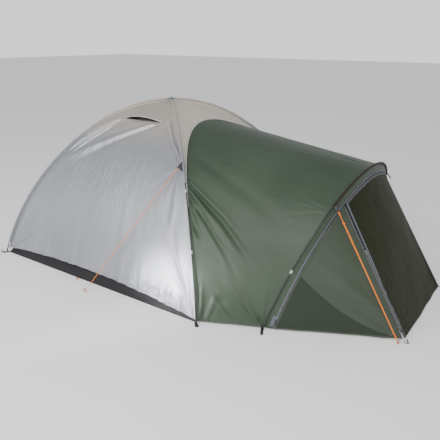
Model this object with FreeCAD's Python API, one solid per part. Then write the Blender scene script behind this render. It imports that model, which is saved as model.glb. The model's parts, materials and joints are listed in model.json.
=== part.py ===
import FreeCAD, Part

# A three-person dome tent with a front porch, pitched and ready to use.
#
# Frame: +Z up, the origin on the ground under the crown, +X towards the porch.
# The near side, where the side door is, is -Y. Lengths are millimetres, turns are degrees.
import math
import os

V = FreeCAD.Vector

# ---------------------------------------------------------------- driving dimensions
HALF_SIDE = 1050.0  # centre to pole foot, along X and along Y
CROWN = 1300.0  # height of the lower dome pole's axis at the crown
FOOT = 14.0  # height of every pole axis where it ends
DOME_TOP_TURN = 31.3  # half the turn of a dome pole's flatter top arc
DOME_END_TURN = 71.85  # turn from the crown to the foot

HOOP_HALF = 855.0  # half the hoop's width at its feet
HOOP_FOOT_X = 1449.0
HOOP_TOP_X = 1789.0
HOOP_TOP = 982.0
HOOP_TOP_TURN = 65.9
HOOP_END_TURN = 90.0

RIM_HALF = 824.0  # the zip arch, which runs beside the hoop
RIM_FOOT_X = 1509.0
RIM_TOP_X = 1797.0
RIM_TOP = 918.0
RIM_FOOT = 12.0
RIM_CORNER_TURN = 31.3  # where the front door's top corners are on the zip arch

FRONT_X = 2245.0  # the porch's two front corners
FRONT_HALF = 448.0
HEM_CLEAR = 12.0  # porch hems above the ground

POLE_R = 4.25
POLE_BORE_R = 1.9
POLE_PASS = 10.0  # rise of the upper dome pole over the lower one
FERRULE_R = 5.2
FERRULE_HALF = 30.0
CORD_R = 1.25  # the elastic cord inside the poles
SLEEVE_R = 8.6
SLEEVE_BORE_R = 6.6

FLY_GAP = 12.0  # from a pole's axis in to the flysheet's outer face
FABRIC = 2.0
INNER_GAP = 55.0  # between the flysheet and the inner tent
SEAM = 3.0  # gap round a door
TUB_HALF = 1036.0
TUB_TOP = 130.0

ARCH_LEAVE = 692.0  # height where the porch roof's seam leaves the dome pole
ARCH_TOP = 1162.0
ARCH_PULL = 260.0  # handles of the seam's curve, along the pole and level at the top
ARCH_FLAT = 375.0

VENT_X = 2.0
VENT_HALF = 202.0
VENT_MOUTH_Y = 357.0
VENT_DEPTH = 150.0
VENT_LIFT = 36.0
PROP_HEIGHT = 28.0
VENT_RUN = 1.25  # length along the dome pole for each millimetre up the wall, beside the vent

DOOR_HALF = 340.0  # the inner door: straight sides under a half circle
DOOR_SILL = 175.0
DOOR_SPRING = 440.0

GUY_R = 2.0
PEG_R = 2.5
PEG_TOP = 20.0


# ---------------------------------------------------------------- shape helpers
def unit(v):
    return V(v).normalize()


def mix(a, b, f):
    return a * (1 - f) + b * f


def steps(low, high, count):
    return [low + (high - low) * i / (count - 1) for i in range(count)]


class Arch:
    """A pole's line: three tangent arcs in the plane of its side and up directions.

    A place on it is its length from the top, positive towards side.
    """

    def __init__(self, middle, side, up, half, rise, top_turn, end_turn):
        self.middle = middle
        self.side = unit(side)
        self.up = unit(up)
        self.across = self.side.cross(self.up)
        self.rise = rise
        self.top_turn = math.radians(top_turn)
        self.end_turn = math.radians(end_turn)
        sin_top = math.sin(self.top_turn)
        cos_top = math.cos(self.top_turn)
        out = math.sin(self.end_turn) - sin_top
        down = cos_top - math.cos(self.end_turn)
        scale = sin_top * down - out * (1 - cos_top)
        self.top_r = (half * down - rise * out) / scale
        self.leg_r = (rise * sin_top - half * (1 - cos_top)) / scale
        self.top_length = self.top_r * self.top_turn
        self.half_length = self.top_length + self.leg_r * (self.end_turn - self.top_turn)

    def turn(self, s):
        if abs(s) <= self.top_length:
            return s / self.top_r
        turned = self.top_turn + (abs(s) - self.top_length) / self.leg_r
        return math.copysign(turned, s)

    def at(self, s, out=0.0, across=0.0):
        turned = abs(self.turn(s))
        top = min(turned, self.top_turn)
        u = self.top_r * math.sin(top) + self.leg_r * (math.sin(turned) - math.sin(top))
        drop = self.top_r * (1 - math.cos(top)) + self.leg_r * (math.cos(top) - math.cos(turned))
        u += out * math.sin(turned)
        level = self.rise - drop + out * math.cos(turned)
        return self.middle + self.side * math.copysign(u, s) + self.up * level + self.across * across

    def ahead(self, s):
        t = self.turn(s)
        return self.side * math.cos(t) - self.up * math.sin(t)

    def outward(self, s):
        t = self.turn(s)
        return self.side * math.sin(t) + self.up * math.cos(t)

    def path(self, s0, s1):
        joins = [c for c in (-self.top_length, self.top_length) if s0 + 1 < c < s1 - 1]
        stops = [s0] + joins + [s1]
        arcs = []
        for a, b in zip(stops, stops[1:]):
            arcs.append(Part.Arc(self.at(a), self.at((a + b) / 2), self.at(b)).toShape())
        return Part.Wire(arcs)

    def rod(self, s0, s1, radius):
        circle = Part.Wire(Part.makeCircle(radius, self.at(s0), self.ahead(s0)))
        return self.path(s0, s1).makePipe(Part.Face(circle))

    def tube(self, s0, s1, outer, bore):
        return self.rod(s0, s1, outer).cut(self.rod(s0, s1, bore))

    def strip(self, s0, s1, low, high, width):
        """A rectangle swept along the arch, from low to high along its outward normal."""
        corners = []
        for out, across in ((low, -width), (high, -width), (high, width), (low, width)):
            corners.append(self.at(s0, out, across / 2))
        return self.path(s0, s1).makePipe(Part.Face(Part.makePolygon(corners + corners[:1])))


def sheet(surface, u_range, v_range, grid=(13, 7), lift=0.0, thickness=FABRIC):
    """A solid of even thickness on surface(u, v), its middle raised by lift along the normal."""
    du = (u_range[1] - u_range[0]) / 500
    dv = (v_range[1] - v_range[0]) / 500

    def raised(u, v, by):
        along_u = surface(u + du, v) - surface(u - du, v)
        along_v = surface(u, v + dv) - surface(u, v - dv)
        return surface(u, v) + unit(along_u.cross(along_v)) * by

    skins = []
    for by in (lift - thickness / 2, lift + thickness / 2):
        rows = [[raised(u, v, by) for v in steps(*v_range, grid[1])] for u in steps(*u_range, grid[0])]
        skin = Part.BSplineSurface()
        skin.interpolate(rows)
        skins.append(skin)
    faces = [skin.toShape() for skin in skins]
    u0, u1, v0, v1 = skins[0].bounds()
    for low, high in (
        [skin.uIso(u0).toShape() for skin in skins],
        [skin.uIso(u1).toShape() for skin in skins],
        [skin.vIso(v0).toShape() for skin in skins],
        [skin.vIso(v1).toShape() for skin in skins],
    ):
        faces.append(Part.makeRuledSurface(low, high))
    shell = Part.makeShell(faces)
    shell.sewShape()
    solid = Part.makeSolid(shell)
    if solid.Volume < 0:
        solid.reverse()
    return solid


def prism(points, direction):
    return Part.Face(Part.makePolygon(points + points[:1])).extrude(direction)


def rod(a, b, radius):
    return Part.makeCylinder(radius, (b - a).Length, a, b - a)


def ring(centre, axis, radius, wire):
    return Part.makeTorus(radius, wire, centre, axis)


def mirrored(shape):
    return shape.mirror(V(0, 0, 0), V(0, 1, 0))


def both_sides(shapes):
    return shapes + [mirrored(shape) for shape in shapes]


def along(points, fraction):
    """The point at a fraction of the way along a chain of points."""
    lengths = [(b - a).Length for a, b in zip(points, points[1:])]
    left = fraction * sum(lengths)
    for i, length in enumerate(lengths[:-1]):
        if left <= length:
            return mix(points[i], points[i + 1], left / length)
        left -= length
    return mix(points[-2], points[-1], left / lengths[-1])


# ---------------------------------------------------------------- the lines that everything hangs on
DIAGONAL = HALF_SIDE * math.sqrt(2)
lower_pole = Arch(V(0, 0, FOOT), V(1, -1, 0), V(0, 0, 1), DIAGONAL, CROWN - FOOT, DOME_TOP_TURN, DOME_END_TURN)
upper_pole = Arch(
    V(0, 0, FOOT), V(1, 1, 0), V(0, 0, 1), DIAGONAL, CROWN - FOOT + POLE_PASS, DOME_TOP_TURN, DOME_END_TURN
)
hoop_up = V(HOOP_TOP_X - HOOP_FOOT_X, 0, HOOP_TOP - FOOT)
hoop = Arch(V(HOOP_FOOT_X, 0, FOOT), V(0, -1, 0), hoop_up, HOOP_HALF, hoop_up.Length, HOOP_TOP_TURN, HOOP_END_TURN)
rim_up = V(RIM_TOP_X - RIM_FOOT_X, 0, RIM_TOP - RIM_FOOT)
rim = Arch(V(RIM_FOOT_X, 0, RIM_FOOT), V(0, -1, 0), rim_up, RIM_HALF, rim_up.Length, HOOP_TOP_TURN, HOOP_END_TURN)
rim_corner = rim.top_r * math.radians(RIM_CORNER_TURN)


def profile(s, inset):
    """The flysheet's section at a place on the dome pole: distance out and height, moved in by inset."""
    on_pole = lower_pole.at(s)
    turned = lower_pole.turn(s)
    normal = V(math.sin(turned), math.cos(turned) / math.sqrt(2), 0).normalize()
    return on_pole.x - inset * normal.x, on_pole.z - inset * normal.y


def place_below(is_above):
    """The highest place on the dome pole where is_above no longer holds."""
    low = 0.0
    high = lower_pole.half_length
    for _ in range(40):
        middle = (low + high) / 2
        if is_above(middle):
            low = middle
        else:
            high = middle
    return high


def profile_at(height, inset):
    """How far out the section is at a height."""
    return profile(place_below(lambda s: profile(s, inset)[1] > height), inset)[0]


def shell_wall(inset, thickness=FABRIC):
    """The -Y wall between the two dome poles, curved upwards and straight across."""
    skins = []
    for depth in (inset, inset + thickness):
        points = []
        for s in steps(-90.0, lower_pole.half_length, 14):
            out, height = profile(s, depth)
            points.append(V(-1300, -out, height))
        curve = Part.BSplineCurve()
        curve.interpolate(points)
        skins.append((curve.toShape(), points[0], points[-1]))
    (outer, outer_top, outer_foot), (inner, inner_top, inner_foot) = skins
    ends = [Part.makeLine(outer_top, inner_top), Part.makeLine(outer_foot, inner_foot)]
    section = Part.Face(Part.Wire([outer, ends[1], inner, ends[0]]))
    wedge = prism([V(0, 0, -50), V(-1300, -1300, -50), V(1300, -1300, -50)], V(0, 0, 1500))
    return section.extrude(V(2600, 0, 0)).common(wedge)


def turned(shape, degrees):
    copy = shape.copy()
    copy.rotate(V(0, 0, 0), V(0, 0, 1), degrees)
    return copy


def below_arc(left, middle, right):
    """The space under a hem that rises as an arc between two corners, in front of the -Y wall."""
    a, b, c = (V(x, -1200, z) for x, z in (left, middle, right))
    hem = Part.Arc(a, b, c).toShape()
    low = -60.0
    outline = Part.makePolygon([c, V(1300, -1200, c.z), V(1300, -1200, low), V(-1300, -1200, low), V(-1300, -1200, a.z), a])
    return Part.Face(Part.Wire([hem] + outline.Edges)).extrude(V(0, 900, 0))


# ---------------------------------------------------------------- flysheet over the dome
MOUTH = place_below(lambda s: profile(s, FLY_GAP)[0] < VENT_MOUTH_Y)


def wall_place(x, slope, lift):
    """A point on the near wall: across, up the slope from the vent's mouth, and out of the wall."""
    out, height = profile(MOUTH - slope * VENT_RUN, FLY_GAP - lift)
    return V(x, -out, height)


def vent_hole(margin):
    """A lens-shaped cutter through the near wall, just above the hood's mouth."""
    depth = 60
    half = VENT_HALF - 22 + margin
    up = unit(wall_place(0, 80, 0) - wall_place(0, 0, 0))
    outward = unit(wall_place(0, 40, 1) - wall_place(0, 40, 0))
    centre = wall_place(VENT_X, 40, depth)
    left = centre + V(-half, 0, 0) + up * (-28 - margin)
    right = centre + V(half, 0, 0) + up * (-28 - margin)
    top = centre + up * (42 + margin)
    low = centre + up * (-36 - margin)
    edge = [Part.Arc(left, top, right).toShape(), Part.Arc(right, low, left).toShape()]
    return Part.Face(Part.Wire(edge)).extrude(outward * (-2 * depth))


def fly_side():
    hem = below_arc((-HALF_SIDE, 45), (-150, 93), (HALF_SIDE, 16))
    return shell_wall(FLY_GAP).cut(hem).cut(vent_hole(0))


def fly_back():
    hem = below_arc((-HALF_SIDE, 45), (0, 93), (HALF_SIDE, 45))
    return turned(shell_wall(FLY_GAP).cut(hem), -90)


def arch_curve():
    """Handles of the seam between dome and porch on its near half, as across and height."""
    out = profile_at(ARCH_LEAVE, FLY_GAP)
    above = profile_at(ARCH_LEAVE + 10, FLY_GAP)
    start = V(0, -out, ARCH_LEAVE)
    rising = unit(V(0, out - above, 10))
    return [start, start + rising * ARCH_PULL, V(0, -ARCH_FLAT, ARCH_TOP), V(0, 0, ARCH_TOP)]


def fly_front():
    """The gable over the porch: the front wall above the seam."""
    handles = arch_curve()
    near = Part.BezierCurve()
    near.setPoles(handles)
    near = near.toShape()
    start = handles[0]
    far_start = V(0, -start.y, start.z)
    out = 1300.0
    sides = Part.makePolygon(
        [far_start, V(0, out, start.z), V(0, out, -60), V(0, -out, -60), V(0, -out, start.z), start]
    )
    outline = Part.Wire([near, mirrored(near)] + sides.Edges)
    return turned(shell_wall(FLY_GAP), 90).cut(Part.Face(outline).extrude(V(out, 0, 0)))


def vent_hood():
    """The raised flap over the vent, open towards the hem."""

    def surface(u, v):
        rise = 2.5 + VENT_LIFT * (1 - u * u) * (1 - v)
        return wall_place(VENT_X + u * VENT_HALF, v * VENT_DEPTH, rise + 3 * v)

    return sheet(surface, (-1, 1), (0, 1))


def vent_mesh():
    return shell_wall(FLY_GAP + FABRIC + 0.2, 1.0).common(vent_hole(12))


def vent_prop():
    base = wall_place(VENT_X - 12, -6, 1.5)
    wide = V(24, 0, 0)
    up = wall_place(0, 0, PROP_HEIGHT) - wall_place(0, 0, 0)
    thick = wall_place(0, 2, 0) - wall_place(0, 0, 0)
    return prism([base, base + wide, base + wide + up, base + up], thick)


# ---------------------------------------------------------------- porch
def arch_points():
    """The seam from its near foot to its top, on the dome's front face."""
    points = []
    leave = place_below(lambda s: profile(s, FLY_GAP)[1] > ARCH_LEAVE)
    for s in steps(lower_pole.half_length, leave, 14):
        out, height = profile(s, FLY_GAP)
        points.append(V(out + 3, -out, height))
    curve = Part.BezierCurve()
    curve.setPoles(arch_curve())
    for f in steps(0.08, 1, 13):
        p = curve.value(f)
        points.append(V(profile_at(p.z, FLY_GAP) + 3, p.y, p.z))
    return points


NEAR_SEAM = arch_points()
HOOP_INSET = -FLY_GAP


def canopy(q, v):
    """The porch roof from the dome's seam (v = 0) to the hoop (v = 1); q is 1 at the near foot."""
    seam = along(NEAR_SEAM, 1 - abs(q))
    seam = V(seam.x, math.copysign(seam.y, -q), seam.z)
    return mix(seam, hoop.at(q * hoop.half_length, HOOP_INSET), v)


def header(q, v):
    """The band from the hoop (v = 0) to the zip arch (v = 1)."""
    return mix(hoop.at(q * hoop.half_length, HOOP_INSET), rim.at(q * rim.half_length), v)


NEAR_CORNER = V(FRONT_X, -FRONT_HALF, HEM_CLEAR)
FAR_CORNER = V(FRONT_X, FRONT_HALF, HEM_CLEAR)
RIM_NEAR = rim.at(rim_corner)
RIM_FAR = rim.at(-rim_corner)
RIM_NEAR_FOOT = rim.at(rim.half_length)
SIDE_FOOT = NEAR_CORNER + unit(RIM_NEAR_FOOT - NEAR_CORNER) * 12
SIDE_POST = SIDE_FOOT + unit(RIM_NEAR - NEAR_CORNER) * 45


def side_door(a, b):
    """The near triangle: a runs from the zip arch's foot to the top corner, b from the arch to the front."""
    on_rim = rim.at(rim.half_length + (rim_corner + 6 - rim.half_length) * a)
    return mix(on_rim, mix(SIDE_FOOT, SIDE_POST, a), b)


def front_door(c, b):
    """The front panel: c is 1 at the near edge and -1 at the far one, b runs from the arch to the ground."""
    return mix(rim.at(c * rim_corner), V(FRONT_X, -FRONT_HALF * c, HEM_CLEAR), b)


PORCH_SPLIT = 0.42  # the porch roof's share of the hoop
RIM_GAP = SEAM / 900  # a door's gap at the zip arch, as a share of its depth
EDGE = 1 - 5.0 / FRONT_HALF


def block(middle, along_line, out, length, width, thickness):
    """A small block lying along a line, with its thickness in the out direction."""
    along_line = unit(along_line)
    across = unit(along_line.cross(out))
    out = across.cross(along_line)
    corner = middle - along_line * (length / 2) - across * (width / 2) - out * (thickness / 2)
    base = [corner, corner + along_line * length]
    base += [base[1] + across * width, corner + across * width]
    return prism(base, out * thickness)


TAPE = 12.0
TAPE_LIFT = 1.8
TAPE_THICKNESS = 1.2
FRONT_DEPTH = 960.0  # from the zip arch to the front hem, up the front door
SIDE_DEPTH = 850.0


def header_tape():
    return [sheet(header, (-0.985, 0.985), (0.80, 0.985), (31, 3), TAPE_LIFT, TAPE_THICKNESS)]


def front_tapes():
    """The zip tapes on the front door: along its top and down its near edge."""
    start = RIM_GAP + 0.002
    top = sheet(front_door, (-EDGE, EDGE - 0.04), (start, start + TAPE / FRONT_DEPTH), (15, 3), TAPE_LIFT, TAPE_THICKNESS)
    width = TAPE / FRONT_HALF
    near = sheet(front_door, (EDGE - width, EDGE), (start + 0.002, 0.985), (3, 7), TAPE_LIFT, TAPE_THICKNESS)
    return [top, near]


def side_tapes():
    """The zip tapes on the side door: along the arch and along its front edge."""
    start = RIM_GAP + 0.002
    arch = sheet(side_door, (0.01, 0.97), (start, start + TAPE / SIDE_DEPTH), (15, 3), -TAPE_LIFT, TAPE_THICKNESS)

    def edge(w, b):
        inward = unit(side_door(0.9, b) - side_door(1, b))
        return side_door(1, b) + inward * (1 + w * TAPE)

    return [arch, sheet(edge, (1, 0), (0.03, 0.93), (3, 7), -TAPE_LIFT, TAPE_THICKNESS)]


SIDE_ZIP_PLACE = rim.half_length - 70


def side_zip_slider():
    """The slider of the curved zip, with its pull, just off the zip arch near its foot."""
    middle = rim.at(SIDE_ZIP_PLACE, 9)
    line = rim.ahead(SIDE_ZIP_PLACE)
    out = rim.outward(SIDE_ZIP_PLACE)
    body = block(middle, line, out, 16, 9, 3)
    pull = block(middle + out * 2.2 + line * 20, line, out, 40, 6, 1.6)
    return body.fuse(pull)


FRONT_ZIP_PLACE = 0.06


def front_zip_slider():
    """The slider of the straight zip between the two doors, near the ground."""
    line = unit(RIM_NEAR - NEAR_CORNER)
    out = unit(V(1, -1, 0.4))
    out = unit(out - line * out.dot(line))
    middle = mix(NEAR_CORNER, RIM_NEAR, FRONT_ZIP_PLACE) + out * 9
    body = block(middle, line, out, 16, 9, 3)
    pull = block(middle + out * 2.2 - line * 20, line, out, 40, 6, 1.6)
    return body.fuse(pull)


# ---------------------------------------------------------------- inner tent
INNER_INSET = FLY_GAP + FABRIC + INNER_GAP


def tub():
    """The waterproof floor with its low walls leaning in under the inner tent's own walls."""
    top_half = profile_at(TUB_TOP, INNER_INSET)
    solids = []
    for shrink, base in ((0.0, 0.0), (FABRIC, FABRIC)):
        squares = []
        for half, height in ((TUB_HALF - shrink, base), (top_half - shrink, TUB_TOP)):
            corners = [V(-half, -half, height), V(half, -half, height), V(half, half, height), V(-half, half, height)]
            squares.append(Part.makePolygon(corners + corners[:1]))
        solids.append(Part.makeLoft(squares, True, True))
    return solids[0].cut(solids[1])


def inner_wall():
    low = Part.makeBox(2700, 2700, TUB_TOP + 0.5 + 100, V(-1350, -1350, -100))
    return shell_wall(INNER_INSET).cut(low)


def door_outline(shrink, sill, spring, radius):
    """A doorway's outline, a half circle on straight sides, as a prism through the front wall."""
    r = radius - shrink
    low = sill + shrink
    left_low, right_low = V(0, -r, low), V(0, r, low)
    left, right, top = V(0, -r, spring), V(0, r, spring), V(0, 0, spring + r)
    edges = [
        Part.makeLine(left, left_low),
        Part.makeLine(left_low, right_low),
        Part.makeLine(right_low, right),
        Part.Arc(right, top, left).toShape(),
    ]
    return Part.Face(Part.Wire(edges)).extrude(V(1300, 0, 0))


def inner_front():
    return turned(inner_wall(), 90).cut(door_outline(0, DOOR_SILL, DOOR_SPRING, DOOR_HALF))


def inner_door():
    panel = turned(inner_wall(), 90).common(door_outline(SEAM, DOOR_SILL, DOOR_SPRING, DOOR_HALF))
    return panel.cut(door_outline(0, DOOR_SPRING, DOOR_SPRING + 5, DOOR_HALF - 90))


def inner_door_mesh():
    wall = turned(shell_wall(INNER_INSET + FABRIC + 0.2, 1.0), 90)
    return wall.common(door_outline(0, DOOR_SPRING - 12, DOOR_SPRING, DOOR_HALF - 78))


def inner_zip_slider():
    """The slider on the inner door's sill, with its pull hanging down the wall."""

    def bar(low, high, lift, thickness, left, width):
        section = []
        for height, out in ((low, lift), (high, lift), (high, lift + thickness), (low, lift + thickness)):
            section.append(V(profile_at(height, INNER_INSET - out), left, height))
        return prism(section, V(0, width, 0))

    plate = bar(DOOR_SILL - 7, DOOR_SILL + 5, 2, 3, DOOR_HALF - 90, 22)
    pull = bar(DOOR_SILL - 30, DOOR_SILL + 4, 5, 1.6, DOOR_HALF - 83, 8)
    return plate.fuse(pull)


def toggles():
    """The ties that hang the inner tent under the flysheet's ridges, each with its dowel."""
    solids = []
    for pole in (lower_pole, upper_pole):
        for place in (380, 900, 1450):
            for s in (-place, place):
                outer = pole.at(s, -FLY_GAP * 1.5 - 8)
                inner = pole.at(s, -FLY_GAP * 1.5 - INNER_GAP + 6)
                middle = mix(outer, inner, 0.5)
                tie = rod(outer, inner, 1.5)
                dowel = rod(middle - pole.across * 14, middle + pole.across * 14, 4)
                solids.append(tie.fuse(dowel))
    return solids


def lantern_loop():
    top = CROWN - INNER_INSET - FABRIC - 14
    return [ring(V(0, 0, top), V(0, 1, 0), 10, 2)]


# ---------------------------------------------------------------- poles
def segments(arch, count):
    """Hollow rods that meet end to end along the arch."""
    places = steps(-arch.half_length, arch.half_length, count + 1)
    return [arch.tube(a + 0.2, b - 0.2, POLE_R, POLE_BORE_R) for a, b in zip(places, places[1:])]


def ferrules(arch, count):
    """Short steel sleeves over each joint between two rods."""
    places = steps(-arch.half_length, arch.half_length, count + 1)[1:-1]
    return [arch.tube(s - FERRULE_HALF, s + FERRULE_HALF, FERRULE_R, POLE_R + 0.05) for s in places]


def shock_cord(arch):
    return arch.rod(-arch.half_length + 60, arch.half_length - 60, CORD_R)


def pole_tips(arch):
    """A cap over each end of a pole."""
    solids = []
    for end in (-1, 1):
        a = arch.half_length - 18
        b = arch.half_length - 0.3
        s0, s1 = sorted((end * a, end * b))
        solids.append(arch.tube(s0, s1, POLE_R + 1.6, POLE_R + 0.05))
    return solids


def foot_pins(arch):
    """The pin in each end of a pole, with the ring it stands on."""
    solids = []
    for end in (-1, 1):
        s = end * arch.half_length
        down = arch.ahead(s) * end
        foot = arch.at(s)
        s0, s1 = sorted((s - end * 42, s))
        pin = arch.rod(s0, s1, POLE_BORE_R - 0.1)
        neck = rod(foot - down * 3, foot + down * 2, POLE_BORE_R - 0.3)
        eye = ring(foot + down * 5.5, arch.across, 4.5, 1.5)
        solids.append(pin.fuse([neck, eye]))
    return solids


def sleeve(arch, s0, s1):
    """A fabric tunnel round the pole with the seam that joins it to the ridge below."""
    tunnel = arch.tube(s0, s1, SLEEVE_R, SLEEVE_BORE_R)
    return tunnel.fuse(arch.strip(s0, s1, -FLY_GAP - 0.2, -SLEEVE_R + 0.6, 3))


DOME_SLEEVE = (70, 1120)
REAR_SLEEVE_END = 2000  # at the back the sleeves reach nearly to the feet
HOOP_SLEEVE = 560
DOME_CLIPS = (1180, 1620)
HOOP_CLIPS = (-1047, 1047)


def clips(arch, places):
    """Plastic hooks that snap over the pole, each on a short strap down to the ridge."""
    solids = []
    for s in places:
        body = arch.tube(s - 11, s + 11, POLE_R + 3.4, POLE_R + 1.2)
        mouth = arch.strip(s - 12, s + 12, 2.5, POLE_R + 5, 3.4)
        strap = arch.strip(s - 9, s + 9, -FLY_GAP - 0.2, -POLE_R - 2.6, 3)
        solids.append(body.cut(mouth).fuse(strap))
    return solids


def crown_cap():
    """The fabric cap tied over the crossing of the two dome poles."""
    top = CROWN + POLE_PASS + POLE_R
    plate = Part.makeCylinder(26, 2, V(0, 0, top + 0.5))
    knob = Part.makeCone(12, 6, 12, V(0, 0, top + 2.5))
    legs = []
    for angle in range(0, 360, 90):
        leg = Part.makeBox(6, 10, top + 0.5 - (CROWN - FLY_GAP), V(19, -5, CROWN - FLY_GAP - 0.5))
        legs.append(turned(leg, angle))
    return plate.fuse([knob] + legs)


# ---------------------------------------------------------------- ground fittings
def flat_strap(a, b, width, thickness=2.0):
    """A level strap between two points."""
    across = unit((b - a).cross(V(0, 0, 1))) * (width / 2)
    return prism([a - across, b - across, b + across, a + across], V(0, 0, thickness))


CORNERS = [V(x * HALF_SIDE, y * HALF_SIDE, 0) for x in (-1, 1) for y in (-1, 1)]


def corner_straps():
    """Webbing from each corner of the floor out to the pole's foot ring and the peg."""
    solids = []
    for corner in CORNERS:
        out = unit(corner)
        start = out * (TUB_HALF * math.sqrt(2) + 1)
        solids.append(flat_strap(start, corner + out * 42, 22))
    return solids


def buckles():
    """Ladder buckles on the corner webbing."""
    solids = []
    for corner in CORNERS:
        out = unit(corner)
        middle = corner + out * 30 + V(0, 0, 2.2)
        frame = flat_strap(middle - out * 9, middle + out * 9, 28, 4)
        for shift in (-4, 4):
            slot = middle + out * shift - V(0, 0, 1)
            frame = frame.cut(flat_strap(slot - out * 2.2, slot + out * 2.2, 20, 8))
        solids.append(frame)
    return solids


def hoop_straps():
    """Webbing under the hoop's foot rings, out to the peg on each side."""
    foot = V(HOOP_FOOT_X, -HOOP_HALF, 0)
    return both_sides([flat_strap(foot + V(-18, 28, 0), foot + V(24, -58, 0), 20)])


def front_loops():
    """Elastic loops at the porch's two front corners."""
    a = NEAR_CORNER
    toward = unit(V(1, -1, 0))
    centre = V(a.x, a.y, 0) + toward * 26 + V(0, 0, 4)
    return both_sides([ring(centre, V(0, 0, 1), 15, 1.8)])


HEM_LOOP_X = -115.0


def hem_loops():
    """Cord loops that peg the middle of the floor's two long edges."""
    near = ring(V(HEM_LOOP_X, -TUB_HALF - 16, 3.2), V(0, 0, 1), 14, 1.6)
    return both_sides([near])


DOME_PEG = V(96, -1166, 0)
HOOP_PEG = V(2222, -512, 0)


def peg(place, lean):
    """A round-wire peg driven to the ground: the stub and the hook, turned towards lean."""
    side = unit(lean)
    reach = 7.0
    top = place + V(0, 0, PEG_TOP)
    crest = top + side * reach + V(0, 0, reach)
    tip = top + side * (2 * reach)
    path = Part.Wire([Part.makeLine(place, top), Part.Arc(top, crest, tip).toShape()])
    return path.makePipe(Part.Face(Part.Wire(Part.makeCircle(PEG_R, place, V(0, 0, 1)))))


def corner_pegs():
    solids = []
    for corner in CORNERS:
        out = unit(corner)
        solids.append(peg(corner + out * 48, out * -1))
    return solids


def porch_pegs():
    hoop_peg = peg(V(HOOP_FOOT_X + 28, -HOOP_HALF - 64, 0), V(0, 1, 0))
    near = V(NEAR_CORNER.x, NEAR_CORNER.y, 0) + unit(V(1, -1, 0)) * 36
    return both_sides([hoop_peg, peg(near, V(-1, 1, 0))])


def hem_pegs():
    return both_sides([peg(V(HEM_LOOP_X, -TUB_HALF - 26, 0), V(0, 1, 0))])


# ---------------------------------------------------------------- guying
TAB_REACH = 44.0
RING_R = 7.0
RING_WIRE = 1.8
LOOP_R = 4.2  # the cord's small loop through a ring
TURN_R = 10.0  # the cord's turn round a peg
TURN_Z = 12.0
KNOT_DOWN = 74.0  # from the hoop's ring to the knot
KNOT_HALF = 9.0  # half the gap between the two strands at the knot


class Guy:
    """One guying point: its webbing tab on a pole, the ring it holds, and the line to a peg."""

    def __init__(self, arch, place, lean, tab_half, peg_place):
        self.base = arch.at(place)
        self.along_pole = arch.ahead(place)
        self.lean = unit(lean)
        self.tab_half = tab_half
        self.peg = peg_place
        self.low = peg_place + V(0, 0, TURN_Z)
        self.ring_centre = self.base + self.lean * (TAB_REACH + RING_R - 3)
        self.pull = unit(self.low - self.ring_centre)
        self.ring_axis = unit(self.lean.cross(self.pull))
        self.through = self.ring_centre + self.pull * RING_R
        self.side = unit(self.pull.cross(V(0, 0, 1)))

    def tab(self):
        start = self.base + self.lean * (SLEEVE_R + 0.6)
        tip = self.base + self.lean * TAB_REACH
        half = self.along_pole * self.tab_half
        normal = unit(self.along_pole.cross(self.lean)) * FABRIC
        return prism([start + half - normal / 2, start - half - normal / 2, tip - normal / 2], normal)

    def ring(self):
        return ring(self.ring_centre, self.ring_axis, RING_R, RING_WIRE)

    def loop(self):
        return ring(self.through, self.pull.cross(self.ring_axis), LOOP_R, GUY_R)


dome_guy = Guy(lower_pole, 974.0, V(-13, -54, 0), 42.0, DOME_PEG)
hoop_guy = Guy(hoop, 541.0, V(55, -20, -60), 16.0, HOOP_PEG)


def guy_line_dome():
    """The single line from the dome pole's ring to its peg, pulled straight."""
    start = dome_guy.through + dome_guy.pull * LOOP_R
    return [rod(start, dome_guy.low - dome_guy.pull * (TURN_R + 1), GUY_R)]


def guy_line_hoop():
    """The doubled line from the hoop's ring, round its peg and back, tied together at the knot."""
    pull = hoop_guy.pull
    low = hoop_guy.low
    start = hoop_guy.through + pull * (LOOP_R + 3)
    knot = hoop_guy.through + pull * KNOT_DOWN
    at_peg = hoop_guy.side * TURN_R
    at_knot = hoop_guy.side * KNOT_HALF
    at_ring = hoop_guy.side * 2.6
    runs = [
        (start + at_ring, knot + at_knot),
        (knot + at_knot, low + at_peg),
        (low - at_peg, knot - at_knot),
        (knot - at_knot, start - at_ring),
    ]
    turn = Part.Wire([Part.Arc(low + at_peg, low + pull * TURN_R, low - at_peg).toShape()])
    section = Part.Face(Part.Wire(Part.makeCircle(GUY_R, low + at_peg, pull)))
    return [rod(a, b, GUY_R) for a, b in runs] + [turn.makePipe(section)]


def guy_loops():
    """The small loops that tie the lines to their rings, and the dome line's loop round its peg."""
    around = ring(dome_guy.low, dome_guy.side.cross(dome_guy.pull), TURN_R, GUY_R)
    return [dome_guy.loop(), hoop_guy.loop(), around]


def guy_knot():
    """The knot that ties the hoop line's two strands together."""
    half = KNOT_HALF + 3
    middle = hoop_guy.through + hoop_guy.pull * KNOT_DOWN
    return [Part.makeCylinder(3.6, 2 * half, middle - hoop_guy.side * half, hoop_guy.side)]


def guy_pegs():
    return [peg(guy.peg, V(guy.peg.x - guy.base.x, guy.peg.y - guy.base.y, 0)) for guy in (dome_guy, hoop_guy)]


# ---------------------------------------------------------------- every sub-part
def fly_nodes():
    side_wall = fly_side()
    hood = vent_hood()
    mesh = vent_mesh()
    prop = vent_prop()
    return {
        "fly_near": [side_wall],
        "fly_far": [mirrored(side_wall)],
        "fly_back": [fly_back()],
        "fly_front_gable": [fly_front()],
        "vent_hood_near": [hood],
        "vent_hood_far": [mirrored(hood)],
        "vent_mesh_near": [mesh],
        "vent_mesh_far": [mirrored(mesh)],
        "vent_prop_near": [prop],
        "vent_prop_far": [mirrored(prop)],
        "crown_cap": [crown_cap()],
    }


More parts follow.
